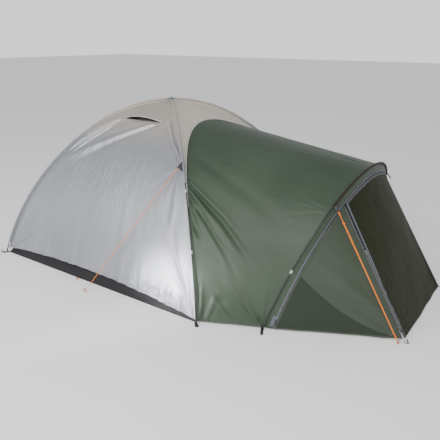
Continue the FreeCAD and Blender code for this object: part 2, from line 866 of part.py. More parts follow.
def porch_nodes():
    porch_side = sheet(canopy, (PORCH_SPLIT, 1.0), (0.002, 0.998), (13, 6))
    side = sheet(side_door, (0, 1), (RIM_GAP, 1), (13, 7))
    return {
        "porch_side_near": [porch_side],
        "porch_side_far": [mirrored(porch_side)],
        "porch_roof": [sheet(canopy, (-PORCH_SPLIT, PORCH_SPLIT), (0.002, 0.998), (15, 6))],
        "porch_header": [sheet(header, (-0.999, 0.999), (0.02, 1), (31, 3))],
        "header_zip_tape": header_tape(),
        "side_door": [side],
        "side_door_zip_tapes": side_tapes(),
        "side_panel_far": [mirrored(side)],
        "front_door": [sheet(front_door, (-EDGE, EDGE), (RIM_GAP, 1), (15, 7))],
        "front_door_zip_tapes": front_tapes(),
        "side_zip_slider": [side_zip_slider()],
        "front_zip_slider": [front_zip_slider()],
    }


def inner_nodes():
    wall = inner_wall()
    return {
        "groundsheet_tub": [tub()],
        "inner_wall_near": [wall],
        "inner_wall_far": [mirrored(wall)],
        "inner_wall_back": [turned(wall, -90)],
        "inner_wall_front": [inner_front()],
        "inner_door": [inner_door()],
        "inner_door_mesh": [inner_door_mesh()],
        "inner_zip_slider": [inner_zip_slider()],
        "inner_toggles": toggles(),
        "lantern_loop": lantern_loop(),
    }


def pole_nodes():
    poles = (("dome_pole_lower", lower_pole, 7), ("dome_pole_upper", upper_pole, 7), ("hoop_pole", hoop, 5))
    nodes = {name: segments(arch, count) for name, arch, count in poles}
    nodes["pole_ferrules"] = [f for _, arch, count in poles for f in ferrules(arch, count)]
    nodes["shock_cords"] = [shock_cord(arch) for _, arch, _ in poles]
    nodes["pole_tips"] = [tip for _, arch, _ in poles for tip in pole_tips(arch)]
    nodes["foot_pins"] = [pin for _, arch, _ in poles for pin in foot_pins(arch)]
    low, high = DOME_SLEEVE
    spans = ((low, high), (-REAR_SLEEVE_END, -low))
    nodes["dome_sleeves"] = [sleeve(pole, *span) for pole in (lower_pole, upper_pole) for span in spans]
    nodes["hoop_sleeve"] = [sleeve(hoop, -HOOP_SLEEVE, HOOP_SLEEVE)]
    nodes["dome_clips"] = clips(lower_pole, DOME_CLIPS) + clips(upper_pole, DOME_CLIPS)
    nodes["hoop_clips"] = clips(hoop, HOOP_CLIPS)
    return nodes


def ground_nodes():
    guys = (dome_guy, hoop_guy)
    return {
        "corner_straps": corner_straps(),
        "corner_buckles": buckles(),
        "hoop_foot_straps": hoop_straps(),
        "front_corner_loops": front_loops(),
        "hem_loops": hem_loops(),
        "corner_pegs": corner_pegs(),
        "porch_pegs": porch_pegs(),
        "hem_pegs": hem_pegs(),
        "guy_pegs": guy_pegs(),
        "guy_tabs": both_sides([guy.tab() for guy in guys]),
        "guy_rings": both_sides([guy.ring() for guy in guys]),
        "guy_line_dome": guy_line_dome(),
        "guy_line_hoop": guy_line_hoop(),
        "guy_loops": guy_loops(),
        "guy_knot": guy_knot(),
    }


def save(name, solids):
    for solid in solids:
        if not solid.isValid() or solid.Volume <= 0:
            print("CHECK", name, solid.isValid(), solid.Volume)
    Part.makeCompound(solids).exportStep(f"parts/{name}.step")


os.makedirs("parts", exist_ok=True)
for group in (fly_nodes, porch_nodes, inner_nodes, pole_nodes, ground_nodes):
    for name, solids in group().items():
        save(name, solids)
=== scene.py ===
import json
import math

import bmesh
import bpy
import numpy as np
from mathutils import Matrix, Vector


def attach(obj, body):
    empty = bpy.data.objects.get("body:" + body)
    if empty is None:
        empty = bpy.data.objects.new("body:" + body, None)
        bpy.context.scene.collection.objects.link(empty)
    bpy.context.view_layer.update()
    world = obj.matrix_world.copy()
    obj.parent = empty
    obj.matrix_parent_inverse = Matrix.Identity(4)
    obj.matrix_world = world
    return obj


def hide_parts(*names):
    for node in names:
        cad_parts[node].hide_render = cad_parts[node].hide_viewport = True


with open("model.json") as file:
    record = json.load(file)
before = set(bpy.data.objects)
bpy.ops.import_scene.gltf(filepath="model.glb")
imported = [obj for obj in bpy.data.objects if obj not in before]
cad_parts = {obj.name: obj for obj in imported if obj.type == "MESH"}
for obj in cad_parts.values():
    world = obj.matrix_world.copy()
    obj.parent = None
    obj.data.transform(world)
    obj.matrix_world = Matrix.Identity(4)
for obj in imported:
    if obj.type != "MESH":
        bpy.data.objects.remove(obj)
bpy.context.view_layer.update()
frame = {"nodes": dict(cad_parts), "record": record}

# A dome tent with a front porch. Metres and radians; +X is the front, -Y the near side.

# ---------------------------------------------------------------- driving dimensions
HALF_SIDE = 1.050  # of the square between the dome poles' feet
CROWN = 1.300
FOOT = 0.014
DOME_TURNS = (31.3, 71.85)
HOOP_TURNS = (65.9, 90.0)
HOOP_HALF = 0.855
HOOP_FOOT_X = 1.449
HOOP_TOP = (1.789, 0.982)
RIM_HALF = 0.824  # the rim is the zip arch, inside the hoop
RIM_FOOT = (1.509, 0.012)
RIM_TOP = (1.797, 0.918)
RIM_CORNER = 31.3
FRONT_X = 2.245
FRONT_HALF = 0.448
HEM_CLEAR = 0.012
POLE_PASS = 0.010
FLY_GAP = 0.012
INNER_INSET = 0.069
TUB_HALF = 1.036
TUB_TOP = 0.130
ARCH_LEAVE = 0.692
ARCH_TOP = 1.162
ARCH_PULL = 0.260
ARCH_FLAT = 0.375
VENT_X = 0.002
VENT_HALF = 0.202
VENT_MOUTH = 0.357
VENT_DEPTH = 0.150
VENT_LIFT = 0.036
DOOR_HALF = 0.340
DOOR_SILL = 0.175
DOOR_SPRING = 0.440
SEAM = 0.003
CLOTH = 0.0009  # how thick every sheet of cloth is shown
SLEEVE_R = 0.0086
CORD = 0.004
STITCH_PITCH = 0.0042
STITCH_LENGTH = 0.0030
STITCH_R = 0.00035
HEM_WIDTH = 0.012  # of the folded hems of the porch and its doors
STEP = 0.012  # the spacing of points along folds and seams
LEG_POINTS = 60  # how many points of the porch seam lie on the pole's leg
PORCH_GAP = 0.003  # between the dome's cloth and the porch's
POLE_END = 0.03  # how far from a pole's foot the cloth and its seams stop
CROWN_CLEAR = 0.02  # and how far from the crown the seams do
RIDGE_R = 0.0034
PIPING_R = 0.0052
NET_THREAD = 0.0007
JOIN = 1e-5


# ---------------------------------------------------------------- vectors and curves
def vec(*xyz):
    return np.array(xyz, float)


def unit(v):
    v = np.asarray(v, float)
    return v / np.maximum(np.linalg.norm(v, axis=-1, keepdims=True), 1e-12)


def mix(a, b, f):
    return a * (1 - f) + b * f


def smooth(low, high, x):
    t = np.clip((x - low) / (high - low), 0, 1)
    return t * t * (3 - 2 * t)


def bell(x):
    return np.exp(-(x**2))


def grid(u, v):
    return np.meshgrid(u, v, indexing="ij")


def total(steps):
    return np.concatenate([[0], np.cumsum(steps)])


def lengths_along(path):
    return total(np.linalg.norm(np.diff(path, axis=0), axis=1))


class Arch:
    """A pole's line: three tangent arcs; a place on it is its length from the top, towards side."""

    def __init__(self, middle, side, up, half, rise, turns):
        self.middle = middle
        self.side = unit(side)
        self.up = unit(up)
        self.across = np.cross(self.side, self.up)
        self.rise = rise
        self.top_turn, self.end_turn = (math.radians(t) for t in turns)
        sin_top, cos_top = math.sin(self.top_turn), math.cos(self.top_turn)
        out = math.sin(self.end_turn) - sin_top
        down = cos_top - math.cos(self.end_turn)
        scale = sin_top * down - out * (1 - cos_top)
        self.top_r = (half * down - rise * out) / scale
        self.leg_r = (rise * sin_top - half * (1 - cos_top)) / scale
        self.top_length = self.top_r * self.top_turn
        self.half_length = self.top_length + self.leg_r * (self.end_turn - self.top_turn)

    def turn(self, s):
        s = np.asarray(s, float)
        leg = self.top_turn + (np.abs(s) - self.top_length) / self.leg_r
        return np.where(np.abs(s) <= self.top_length, s / self.top_r, np.copysign(leg, s))

    def at(self, s, out=0.0, across=0.0):
        s = np.asarray(s, float)
        turned = np.abs(self.turn(s))
        top = np.minimum(turned, self.top_turn)
        u = self.top_r * np.sin(top) + self.leg_r * (np.sin(turned) - np.sin(top)) + out * np.sin(turned)
        level = self.rise - self.top_r * (1 - np.cos(top)) - self.leg_r * (np.cos(top) - np.cos(turned))
        level = level + out * np.cos(turned)
        sideways = self.side * np.copysign(u, s)[..., None]
        return self.middle + sideways + self.up * level[..., None] + self.across * across

    def ahead(self, s):
        t = self.turn(s)[..., None]
        return self.side * np.cos(t) - self.up * np.sin(t)

    def outward(self, s):
        t = self.turn(s)[..., None]
        return self.side * np.sin(t) + self.up * np.cos(t)


def dome_pole(side, lift):
    half = HALF_SIDE * math.sqrt(2)
    return Arch(vec(0, 0, FOOT), side, vec(0, 0, 1), half, CROWN - FOOT + lift, DOME_TURNS)


def porch_arch(foot, top, half):
    up = vec(top[0] - foot[0], 0, top[1] - foot[1])
    return Arch(vec(foot[0], 0, foot[1]), vec(0, -1, 0), up, half, np.linalg.norm(up), HOOP_TURNS)


lower_pole = dome_pole(vec(1, -1, 0), 0)
upper_pole = dome_pole(vec(1, 1, 0), POLE_PASS)
hoop = porch_arch((HOOP_FOOT_X, FOOT), HOOP_TOP, HOOP_HALF)
rim = porch_arch(RIM_FOOT, RIM_TOP, RIM_HALF)
rim_corner = rim.top_r * math.radians(RIM_CORNER)

NEAR_CORNER = vec(FRONT_X, -FRONT_HALF, HEM_CLEAR)
SIDES = (("near", vec(1, 1, 1)), ("far", vec(1, -1, 1)))
X, Y, Z = np.eye(3)


def profile(s, inset):
    """The flysheet's section at a place on the dome pole: distance out, and height."""
    on_pole = lower_pole.at(s)
    turned = lower_pole.turn(s)
    normal = unit(np.stack([np.sin(turned), np.cos(turned) / math.sqrt(2)], -1))
    return on_pole[..., 0] - inset * normal[..., 0], on_pole[..., 2] - inset * normal[..., 1]


PLACES = np.linspace(0, lower_pole.half_length, 1200)


def place_at_height(height, inset):
    level = profile(PLACES, inset)[1]
    return np.interp(-np.asarray(height), -level, PLACES)


def out_at_height(height, inset):
    return profile(place_at_height(height, inset), inset)[0]


def along(points, fraction):
    """Points at fractions of the way along a chain of points."""
    lengths = lengths_along(points)
    at = np.asarray(fraction) * lengths[-1]
    return np.stack([np.interp(at, lengths, column) for column in points.T], -1)


def even(path, spacing):
    """The path again, with points at an even spacing; columns past the third go along with it."""
    path = np.asarray(path, float)
    lengths = lengths_along(path[:, :3])
    at = np.linspace(0, lengths[-1], max(2, int(lengths[-1] / spacing) + 1))
    return np.stack([np.interp(at, lengths, column) for column in path.T], -1)


def frames(path, up, cyclic=False):
    """The direction, side and outward vectors at each point of a path."""
    if cyclic:
        ahead = unit(np.roll(path, -1, axis=0) - np.roll(path, 1, axis=0))
    else:
        ahead = unit(np.gradient(path, axis=0))
    side = unit(np.cross(ahead, np.broadcast_to(up, path.shape)))
    return ahead, side, np.cross(side, ahead)


# ---------------------------------------------------------------- grids of points
def sample(surface, u_range, v_range, counts):
    return surface(*grid(np.linspace(*u_range, counts[0]), np.linspace(*v_range, counts[1])))


def normals_of(points):
    return unit(np.cross(np.gradient(points, axis=0), np.gradient(points, axis=1)))


def lift(points, height):
    """Moves a grid of points along its normals."""
    return points + normals_of(points) * height


def flat_map(points):
    """Where each point of a grid lies on the flat cloth."""
    across = np.linalg.norm(np.diff(points, axis=0), axis=2).max(1)
    down = np.linalg.norm(np.diff(points, axis=1), axis=2).mean(0)
    return np.stack(grid(total(across), total(down)), -1)


def turned(points, quarters):
    """Points turned by quarters of a turn about Z."""
    c, s = round(math.cos(quarters * math.pi / 2)), round(math.sin(quarters * math.pi / 2))
    x, y, z = points[..., 0], points[..., 1], points[..., 2]
    return np.stack([c * x - s * y, s * x + c * y, z], -1)


def same(points):
    return points


def flipped(points):
    """A grid mirrored to the far side, with its rows reversed so that it still faces out."""
    return (points * vec(1, -1, 1))[::-1]


def crossed(points):
    """A grid with its rows and columns exchanged."""
    return np.swapaxes(points, 0, 1)


def strip_of(points, width):
    """A narrow grid of four columns along a sheet's first column."""
    at = np.linspace(0, width, 4)
    strip = np.empty((len(points), 4, 3))
    for k, row in enumerate(points):
        lengths = lengths_along(row)
        for axis in range(3):
            strip[k, :, axis] = np.interp(at, lengths, row[:, axis])
    return strip


# ---------------------------------------------------------------- pieces
def link(thing):
    bpy.context.scene.collection.objects.link(thing)
    return thing


def put(thing, slot, *replaced, body="root"):
    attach(thing, body)
    if replaced:
        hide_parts(*replaced)
    return thing


def faced(name, points, faces, material):
    """An object with smooth faces on the given points."""
    mesh = bpy.data.meshes.new(name)
    mesh.from_pydata(points.reshape(-1, 3).tolist(), [], faces)
    mesh.polygons.foreach_set("use_smooth", [True] * len(mesh.polygons))
    mesh.materials.append(material)
    return link(bpy.data.objects.new(name, mesh))


def join_doubles(mesh):
    """Joins points that meet and drops what no face uses."""
    made = bmesh.new()
    made.from_mesh(mesh)
    bmesh.ops.remove_doubles(made, verts=made.verts, dist=JOIN)
    bmesh.ops.dissolve_degenerate(made, edges=made.edges, dist=1e-7)
    loose = [v for v in made.verts if not v.link_faces]
    bmesh.ops.delete(made, geom=loose, context="VERTS")
    made.to_mesh(mesh)
    made.free()


def grid_piece(name, points, material, keep=None):
    """Quads on a grid of points (rows, columns, 3), with a map of the cloth in metres."""
    index = np.arange(points[..., 0].size).reshape(points.shape[:2])
    quads = np.stack([index[:-1, :-1], index[1:, :-1], index[1:, 1:], index[:-1, 1:]], -1).reshape(-1, 4)
    if keep is not None:
        quads = quads[keep.reshape(-1)]
    thing = faced(name, points, quads.tolist(), material)
    mesh = thing.data
    layer = mesh.uv_layers.new(name="cloth")
    corners = np.zeros(len(mesh.loops), np.int32)
    mesh.loops.foreach_get("vertex_index", corners)
    layer.data.foreach_set("uv", flat_map(points).reshape(-1, 2)[corners].astype(np.float32).ravel())
    join_doubles(mesh)
    return thing


def cloth(name, points, material, slot, *replaced, body="root", keep=None, thickness=CLOTH, offset=-1.0):
    """A sheet of cloth: the grid is its outer face, and its thickness goes inwards."""
    thing = grid_piece(name, points, material, keep)
    solid = thing.modifiers.new("cloth", "SOLIDIFY")
    solid.thickness = thickness
    solid.offset = offset
    return put(thing, slot, *replaced, body=body)


def net(name, points, *replaced, body="root"):
    """Insect netting: every edge of the grid is a thread."""
    thing = grid_piece(name, points, NET)
    wires = thing.modifiers.new("threads", "WIREFRAME")
    wires.thickness = NET_THREAD
    wires.use_even_offset = False
    return put(thing, "mesh", *replaced, body=body)


def skin(name, rings, material, cyclic=False):
    """A closed surface through rings of points, capped at its ends unless it runs in a loop."""
    index = np.arange(rings[..., 0].size).reshape(rings.shape[:2])
    caps = [] if cyclic else [index[0][::-1].tolist(), index[-1].tolist()]
    if cyclic:
        index = np.vstack([index, index[:1]])
    near, far = index[:-1], index[1:]
    quads = np.stack([near, np.roll(near, -1, 1), np.roll(far, -1, 1), far], -1).reshape(-1, 4).tolist()
    return faced(name, rings, quads + caps, material)


def tube(name, path, radius, material, slot, *replaced, body="root", sides=10, up=(0, 0, 1), cyclic=False):
    """A closed tube along a path; radius may change along it."""
    path = np.asarray(path, float)
    _, side, out = frames(path, up, cyclic)
    radius = np.broadcast_to(radius, len(path))[:, None, None]
    turn = np.linspace(0, math.tau, sides, endpoint=False)[:, None]
    ring = np.cos(turn) * side[:, None] + np.sin(turn) * out[:, None]
    return put(skin(name, path[:, None] + ring * radius, material, cyclic), slot, *replaced, body=body)


def ribbon(name, path, out, half, low, thickness, material, slot, *replaced, body="root"):
    """A band along a path, half its width to each side, with its lower face low along out."""
    path = np.asarray(path, float)
    _, side, outward = frames(path, out)
    corners = [(-half, low), (half, low), (half, low + thickness), (-half, low + thickness)]
    thing = skin(name, np.stack([path + side * a + outward * b for a, b in corners], 1), material)
    soften = thing.modifiers.new("edge", "BEVEL")
    soften.width = min(thickness, 2 * half) * 0.3
    soften.segments = 2
    return put(thing, slot, *replaced, body=body)


def loop(name, centre, first, second, radius, material, slot, *replaced, wire=CORD / 2):
    """A closed ring of cord in the plane of two directions."""
    turn = np.linspace(0, math.tau, 48, endpoint=False)[:, None]
    path = centre + (np.cos(turn) * first + np.sin(turn) * second) * radius
    return tube(name, path, wire, material, slot, *replaced, up=np.cross(first, second), cyclic=True)


def stitches(name, path, out, slot, body="root", height=0.0004):
    """A row of thread stitches lying along a path on a cloth's face."""
    path = np.asarray(path, float)
    spaced = even(np.hstack([path, np.broadcast_to(out, path.shape)]), STITCH_PITCH)
    ahead, side, outward = frames(spaced[:, :3], spaced[:, 3:])
    centre = spaced[:, :3] + outward * height
    half = ahead * (STITCH_LENGTH / 2)
    side = side * STITCH_R
    top = centre + outward * STITCH_R
    points = np.stack([centre - half, centre + side, top, centre - side, centre + half], 1)
    stitch = np.array([(0, 1, 2), (0, 2, 3), (4, 2, 1), (4, 3, 2), (0, 3, 1), (4, 1, 3)])
    faces = (stitch + 5 * np.arange(len(points))[:, None, None]).reshape(-1, 3).tolist()
    return put(faced(name, points, faces, THREAD), slot, body=body)


def sew(name, points, columns, slot, body):
    """Rows of stitches along columns of a grid."""
    normals = normals_of(points)
    rows = columns.items()
    return [stitches(f"{name}_thread_{label}", points[:, k], normals[:, k], slot, body) for label, k in rows]


def hem_band(name, points, material, slot, body="root", width=HEM_WIDTH):
    """A folded hem along a sheet's first column, with its two rows of stitches."""
    lifted = lift(strip_of(points, width), 0.0007)
    band = cloth(name, lifted, material, slot, body=body, thickness=0.0022)
    return [band, *sew(name, lifted, {"low": 1, "high": 2}, slot, body)]


# ---------------------------------------------------------------- folds and wrinkles
SHOULDER = 1.7  # how far a fold's shoulders stand from its middle, in widths


def noise(places, scale, seed=0):
    """Smooth noise from -1 to 1 on flat places; scale is one size or a size each way."""
    table = np.random.default_rng(seed).uniform(-1, 1, 4096)
    at = places / np.asarray(scale)
    cell = np.floor(at).astype(np.int64)
    part = at - cell
    part = part * part * (3 - 2 * part)

    def corner(dx, dy):
        return table[((cell[..., 0] + dx) * 73856093 ^ (cell[..., 1] + dy) * 19349663) & 4095]

    low = mix(corner(0, 0), corner(1, 0), part[..., 0])
    high = mix(corner(0, 1), corner(1, 1), part[..., 0])
    return mix(low, high, part[..., 1])


class Relief:
    """The folds of one sheet: heights along its normals, added up and then given to its points."""

    def __init__(self, points, *rumples):
        self.points = points
        self.normals = normals_of(points)
        self.height = np.zeros(points.shape[:2])
        self.flat = flat_map(points)
        for rumple in rumples:
            self.rumple(*rumple)

    def fold(self, line, width, depth, ridge, fade=(0.10, 0.55)):
        """A fold along a line on the sheet: a valley, or a ridge where depth is negative, with shoulders."""
        line = even(line, STEP)
        ahead = unit(np.gradient(line, axis=0))
        far = np.stack([np.linalg.norm(self.points - p, axis=2) for p in line])
        nearest = far.argmin(0)
        rel = self.points - line[nearest]
        on = np.sum(rel * ahead[nearest], -1)
        away = np.sum(rel * np.cross(self.normals, ahead[nearest]), -1)
        t = (nearest + on / STEP) / (len(line) - 1)
        wide = mix(width[0], width[1], np.clip(t, 0, 1))
        x = away / wide
        shape = bell(x) - ridge * (bell(x - SHOULDER) + bell(x + SHOULDER)) / 2
        strength = smooth(-0.02, fade[0], t) * (1 - smooth(fade[1], 1.02, t))
        self.height -= depth * strength * shape * (far.min(0) < 6 * wide + 0.03)

    def folds(self, locate, table):
        """Folds from rows of (places on the sheet, width, depth, ridge, fade)."""
        for places, *rest in table:
            self.fold(locate(places), *rest)

    def fan(self, seed, centre, aim, spread, reach, depth, count, start=0.02):
        """Tension wrinkles that spread out from a place where the sheet is held."""
        index = np.unravel_index(np.linalg.norm(self.points - centre, axis=2).argmin(), self.height.shape)
        normal = self.normals[index]
        aim = unit(aim - normal * np.dot(aim, normal))
        rel = self.points - centre
        r = np.linalg.norm(rel, axis=2)
        angle = np.arctan2(rel @ np.cross(normal, aim), rel @ aim)
        wave = noise(np.stack([angle * count / spread, r * 0 + 0.5], -1), 1.0, seed)
        window = np.clip(1 - np.abs(angle) / spread, 0, 1) ** 0.7
        self.height += depth * wave * window * smooth(0, start * 3, r) * bell(r / reach)

    def fans(self, locate, seed, table):
        """Fans from rows of (place on the sheet, aim, spread, reach, depth, count, start)."""
        for k, (place, *rest) in enumerate(table):
            self.fan(seed + k, locate([place])[0], *rest)

    def rumple(self, size, depth, seed, sharp=False, where=1.0):
        """Uneven waves all over; sharp ones have creased crests."""
        wave = noise(self.flat, size, seed) + 0.5 * noise(self.flat, np.asarray(size) / 2.1, seed + 1)
        if sharp:
            wave = 0.6 - 1.6 * np.abs(wave)
        self.height += depth * wave * where

    def hold(self, *edges, reach=0.03):
        """Brings the folds to nothing at the named edges: 0 and 1 of rows, 2 and 3 of columns."""
        for edge in edges:
            line = (self.points[:1], self.points[-1:], self.points[:, :1], self.points[:, -1:])[edge]
            self.height *= smooth(0, reach, np.linalg.norm(self.points - line, axis=2))

    def shaped(self):
        return self.points + self.normals * self.height[..., None]


# ---------------------------------------------------------------- materials
class Shader:
    """Wires up a node material; sockets are named with _ for a space."""

    def __init__(self, name, colour, roughness, metallic=0.0, **sockets):
        self.material = bpy.data.materials.new(name)
        self.material.use_nodes = True
        self.tree = self.material.node_tree
        self.shader = self.tree.nodes["Principled BSDF"]
        sockets |= {"Base_Color": (*colour, 1), "Roughness": roughness, "Metallic": metallic}
        for socket, value in sockets.items():
            self.shader.inputs[socket.replace("_", " ")].default_value = value

    def node(self, kind, **values):
        """A node with its inputs and its own settings given by name."""
        made = self.tree.nodes.new(kind)
        for key, value in values.items():
            socket = key.replace("_", " ")
            if socket in made.inputs:
                made.inputs[socket].default_value = value
            else:
                setattr(made, key, value)
        return made

    def join(self, output, node, socket):
        self.tree.links.new(output, node.inputs[socket])

    def place(self):
        return self.node("ShaderNodeTexCoord").outputs["Object"]

    def noise(self, scale, detail, roughness=0.55):
        made = self.node("ShaderNodeTexNoise", Scale=scale, Detail=detail, Roughness=roughness)
        self.join(self.place(), made, "Vector")
        return made.outputs["Fac"]

    def ramp(self, factor, *stops):
        made = self.node("ShaderNodeValToRGB")
        for element, (place, colour) in zip(made.color_ramp.elements, stops):
            element.position = place
            element.color = (*colour, 1)
        self.join(factor, made, "Fac")
        return made.outputs["Color"]

    def tinted(self, colour, axis, low, high, tint):
        """Turns a colour into the tint between two places on an axis."""
        split = self.node("ShaderNodeSeparateXYZ")
        self.join(self.place(), split, 0)
        reach = self.node("ShaderNodeMapRange", interpolation_type="SMOOTHSTEP", From_Min=low, From_Max=high)
        self.join(split.outputs[axis], reach, "Value")
        mixed = self.node("ShaderNodeMix", data_type="RGBA")
        self.join(reach.outputs[0], mixed, "Factor")
        self.join(colour, mixed, 6)
        mixed.inputs[7].default_value = (*tint, 1)
        return mixed.outputs[2]

    def bump(self, *layers):
        """Chains bumps of (height output, distance, strength) into the shader's normal."""
        normal = None
        for height, distance, strength in layers:
            made = self.node("ShaderNodeBump", Distance=distance, Strength=strength)
            self.join(height, made, "Height")
            if normal is not None:
                self.join(normal, made, "Normal")
            normal = made.outputs["Normal"]
        self.join(normal, self.shader, "Normal")

    def weave(self, pitch):
        """Warp and weft: two sets of bands, pitch metres apart, on the cloth's own map."""
        place = self.node("ShaderNodeUVMap", uv_map="cloth").outputs[0]
        both = self.node("ShaderNodeMath", operation="ADD")
        for k, direction in enumerate("XY"):
            band = self.node("ShaderNodeTexWave", bands_direction=direction, Scale=1 / pitch / 10 * math.pi)
            self.join(place, band, "Vector")
            self.join(band.outputs["Fac"], both, k)
        return both.outputs[0]


def fabric(name, light, dark, roughness, metallic=0.0, pitch=0.0012, crinkle=0.0012, tint=None, **sockets):
    """Coated cloth: weave, small crinkles, and slow changes of colour between light and dark."""
    made = Shader(name, light, roughness, metallic, **sockets)
    colour = made.ramp(made.noise(1.6, 4), (0.35, dark), (0.65, light))
    if tint is not None:
        colour = made.tinted(colour, *tint)
    made.join(colour, made.shader, "Base Color")
    made.bump((made.weave(pitch), 0.0001, 0.5), (made.noise(38, 4, 0.6), crinkle, 0.5))
    return made.material


def plain(name, colour, roughness, metallic=0.0, **sockets):
    """Moulded plastic or metal: a fine grain and slightly uneven colour."""
    made = Shader(name, colour, roughness, metallic, **sockets)
    worn = tuple(min(1, c * 1.35 + 0.01) for c in colour)
    made.join(made.ramp(made.noise(30, 4), (0.4, colour), (0.75, worn)), made.shader, "Base Color")
    made.bump((made.noise(400, 2), 0.0002, 0.4))
    return made.material


def tape(name, light, dark, roughness, pitch=0.002, crinkle=0.0004):
    """Narrow woven goods: a coarser weave with hardly any crinkles."""
    return fabric(name, light, dark, roughness, pitch=pitch, crinkle=crinkle)


# The silver fly turns warm and light towards the top of the dome: that tint is painted warm light, not a
# change in the cloth.
SILVER = fabric("silver_fly", (0.335, 0.345, 0.372), (0.29, 0.30, 0.33), 0.37, 0.42,
                tint=("Z", 0.95, 1.24, (0.49, 0.45, 0.395)))
# A lighter, warmer copy of the silver fly for the gable: painted light, as the gable is the same cloth shown
# brighter where the light falls on it.
PAINTED_LIGHT_GABLE = fabric("silver_fly_gable_painted_light", (0.62, 0.57, 0.50), (0.55, 0.505, 0.44), 0.42, 0.15)
GREEN = fabric("green_fly", (0.049, 0.073, 0.047), (0.037, 0.056, 0.035), 0.52, Specular_IOR_Level=0.4)
DARK_GREEN = fabric("dark_green_fly", (0.045, 0.062, 0.040), (0.036, 0.050, 0.032), 0.52)
# A darker copy of the side door's cloth: painted shade for the door's lower part.
SHADED_GREEN = fabric("shaded_green_fly", (0.027, 0.038, 0.024), (0.021, 0.030, 0.019), 0.55,
                      Specular_IOR_Level=0.3)
# A darker copy of the door cloth for the front door: painted shade, as the front is the same cloth lying in
# shade.
SHADED_DOOR_GREEN = fabric("front_door_shaded_green", (0.026, 0.030, 0.015), (0.018, 0.021, 0.010), 0.62,
                    Specular_IOR_Level=0.14)
TUB = fabric("tub_cloth", (0.020, 0.019, 0.022), (0.015, 0.014, 0.017), 0.6, pitch=0.002,
             Specular_IOR_Level=0.25)
HOOD = fabric("hoop_sleeve_cloth", (0.034, 0.029, 0.022), (0.024, 0.021, 0.016), 0.6, Specular_IOR_Level=0.2)
INNER = fabric("inner_cloth", (0.62, 0.60, 0.54), (0.56, 0.54, 0.48), 0.8)
PIPING = fabric("pale_piping", (0.62, 0.61, 0.58), (0.56, 0.55, 0.52), 0.5, 0.15)
NET = fabric("insect_net", (0.02, 0.02, 0.02), (0.014, 0.014, 0.014), 0.8, pitch=0.0016)
WEBBING = tape("black_webbing", (0.018, 0.018, 0.02), (0.012, 0.012, 0.013), 0.7, 0.0022)
GREY_WEBBING = tape("grey_webbing", (0.33, 0.34, 0.36), (0.28, 0.29, 0.31), 0.6)
TAB = tape("tab_cloth", (0.085, 0.095, 0.09), (0.06, 0.07, 0.065), 0.6)
ZIP = tape("zip_tape", (0.115, 0.125, 0.155), (0.090, 0.098, 0.125), 0.65, 0.0014, 0.0003)
BLACK_TAPE = tape("black_zip_tape", (0.10, 0.10, 0.11), (0.07, 0.07, 0.08), 0.7, 0.0014, 0.0003)
ORANGE = tape("orange_cord", (0.98, 0.27, 0.008), (0.90, 0.21, 0.006), 0.6, 0.002, 0.0002)
ELASTIC = tape("black_elastic", (0.02, 0.02, 0.02), (0.012, 0.012, 0.012), 0.6, 0.0012, 0.0002)
POLE = plain("pole_fibreglass", (0.012, 0.012, 0.013), 0.28, Coat_Weight=0.3)
STEEL = plain("dark_steel", (0.055, 0.055, 0.058), 0.46, 0.7)
THREAD = plain("sewing_thread", (0.42, 0.42, 0.42), 0.7)
BLACK_PLASTIC = plain("black_nylon", (0.015, 0.015, 0.016), 0.45)
GREY_PLASTIC = plain("grey_nylon", (0.55, 0.57, 0.60), 0.42)

SLOT_MATERIALS = dict(
    silver_fly=SILVER, green_fly=GREEN, dark_green_fly=DARK_GREEN, tub_fabric=TUB, inner_fabric=INNER,
    black_webbing=WEBBING, grey_webbing=GREY_WEBBING, elastic=ELASTIC, zip_tape=ZIP, orange_cord=ORANGE,
    mesh=NET, pole_black=POLE, steel=STEEL, plastic_black=BLACK_PLASTIC, plastic_grey=GREY_PLASTIC,
)

# ---------------------------------------------------------------- camera, light and floor
CAMERA_TARGET = vec(0.960, -0.647, 0.600)
CAMERA_YAW = math.radians(34.754)
CAMERA_PITCH = math.radians(19.550)
CAMERA_ROLL = 0.005
CAMERA_FAR = 3.588
CAMERA_LENS = 42.09
FLOOR_HALF = 40.0
HORIZON = 0.12  # how high the bright backdrop reaches, before it darkens towards the ceiling
ZENITH = (0.40, 0.41, 0.43)


def add_camera():
    level = math.cos(CAMERA_PITCH)
    back = vec(math.sin(CAMERA_YAW) * level, -math.cos(CAMERA_YAW) * level, math.sin(CAMERA_PITCH))
    right = vec(math.cos(CAMERA_YAW), math.sin(CAMERA_YAW), 0)
    right = right * math.cos(CAMERA_ROLL) + np.cross(back, right) * math.sin(CAMERA_ROLL)
    data = bpy.data.cameras.new("camera")
    data.lens = CAMERA_LENS
    data.sensor_width = 36
    data.clip_end = 100
    camera = link(bpy.data.objects.new("camera", data))
    columns = np.stack([right, np.cross(back, right), back, CAMERA_TARGET + back * CAMERA_FAR], 1)
    camera.matrix_world = Matrix([*columns.tolist(), [0, 0, 0, 1]])
    bpy.context.scene.camera = camera


def add_light(name, place, aim, size, watts, colour=(1, 1, 1), spread=180):
    data = bpy.data.lights.new(name, "AREA")
    data.shape = "DISK"
    data.size = size
    data.energy = watts
    data.color = colour
    data.spread = math.radians(spread)
    lamp = link(bpy.data.objects.new(name, data))
    lamp.location = place
    lamp.rotation_mode = "QUATERNION"
    lamp.rotation_quaternion = (Vector(aim) - Vector(place)).to_track_quat("-Z", "Y")


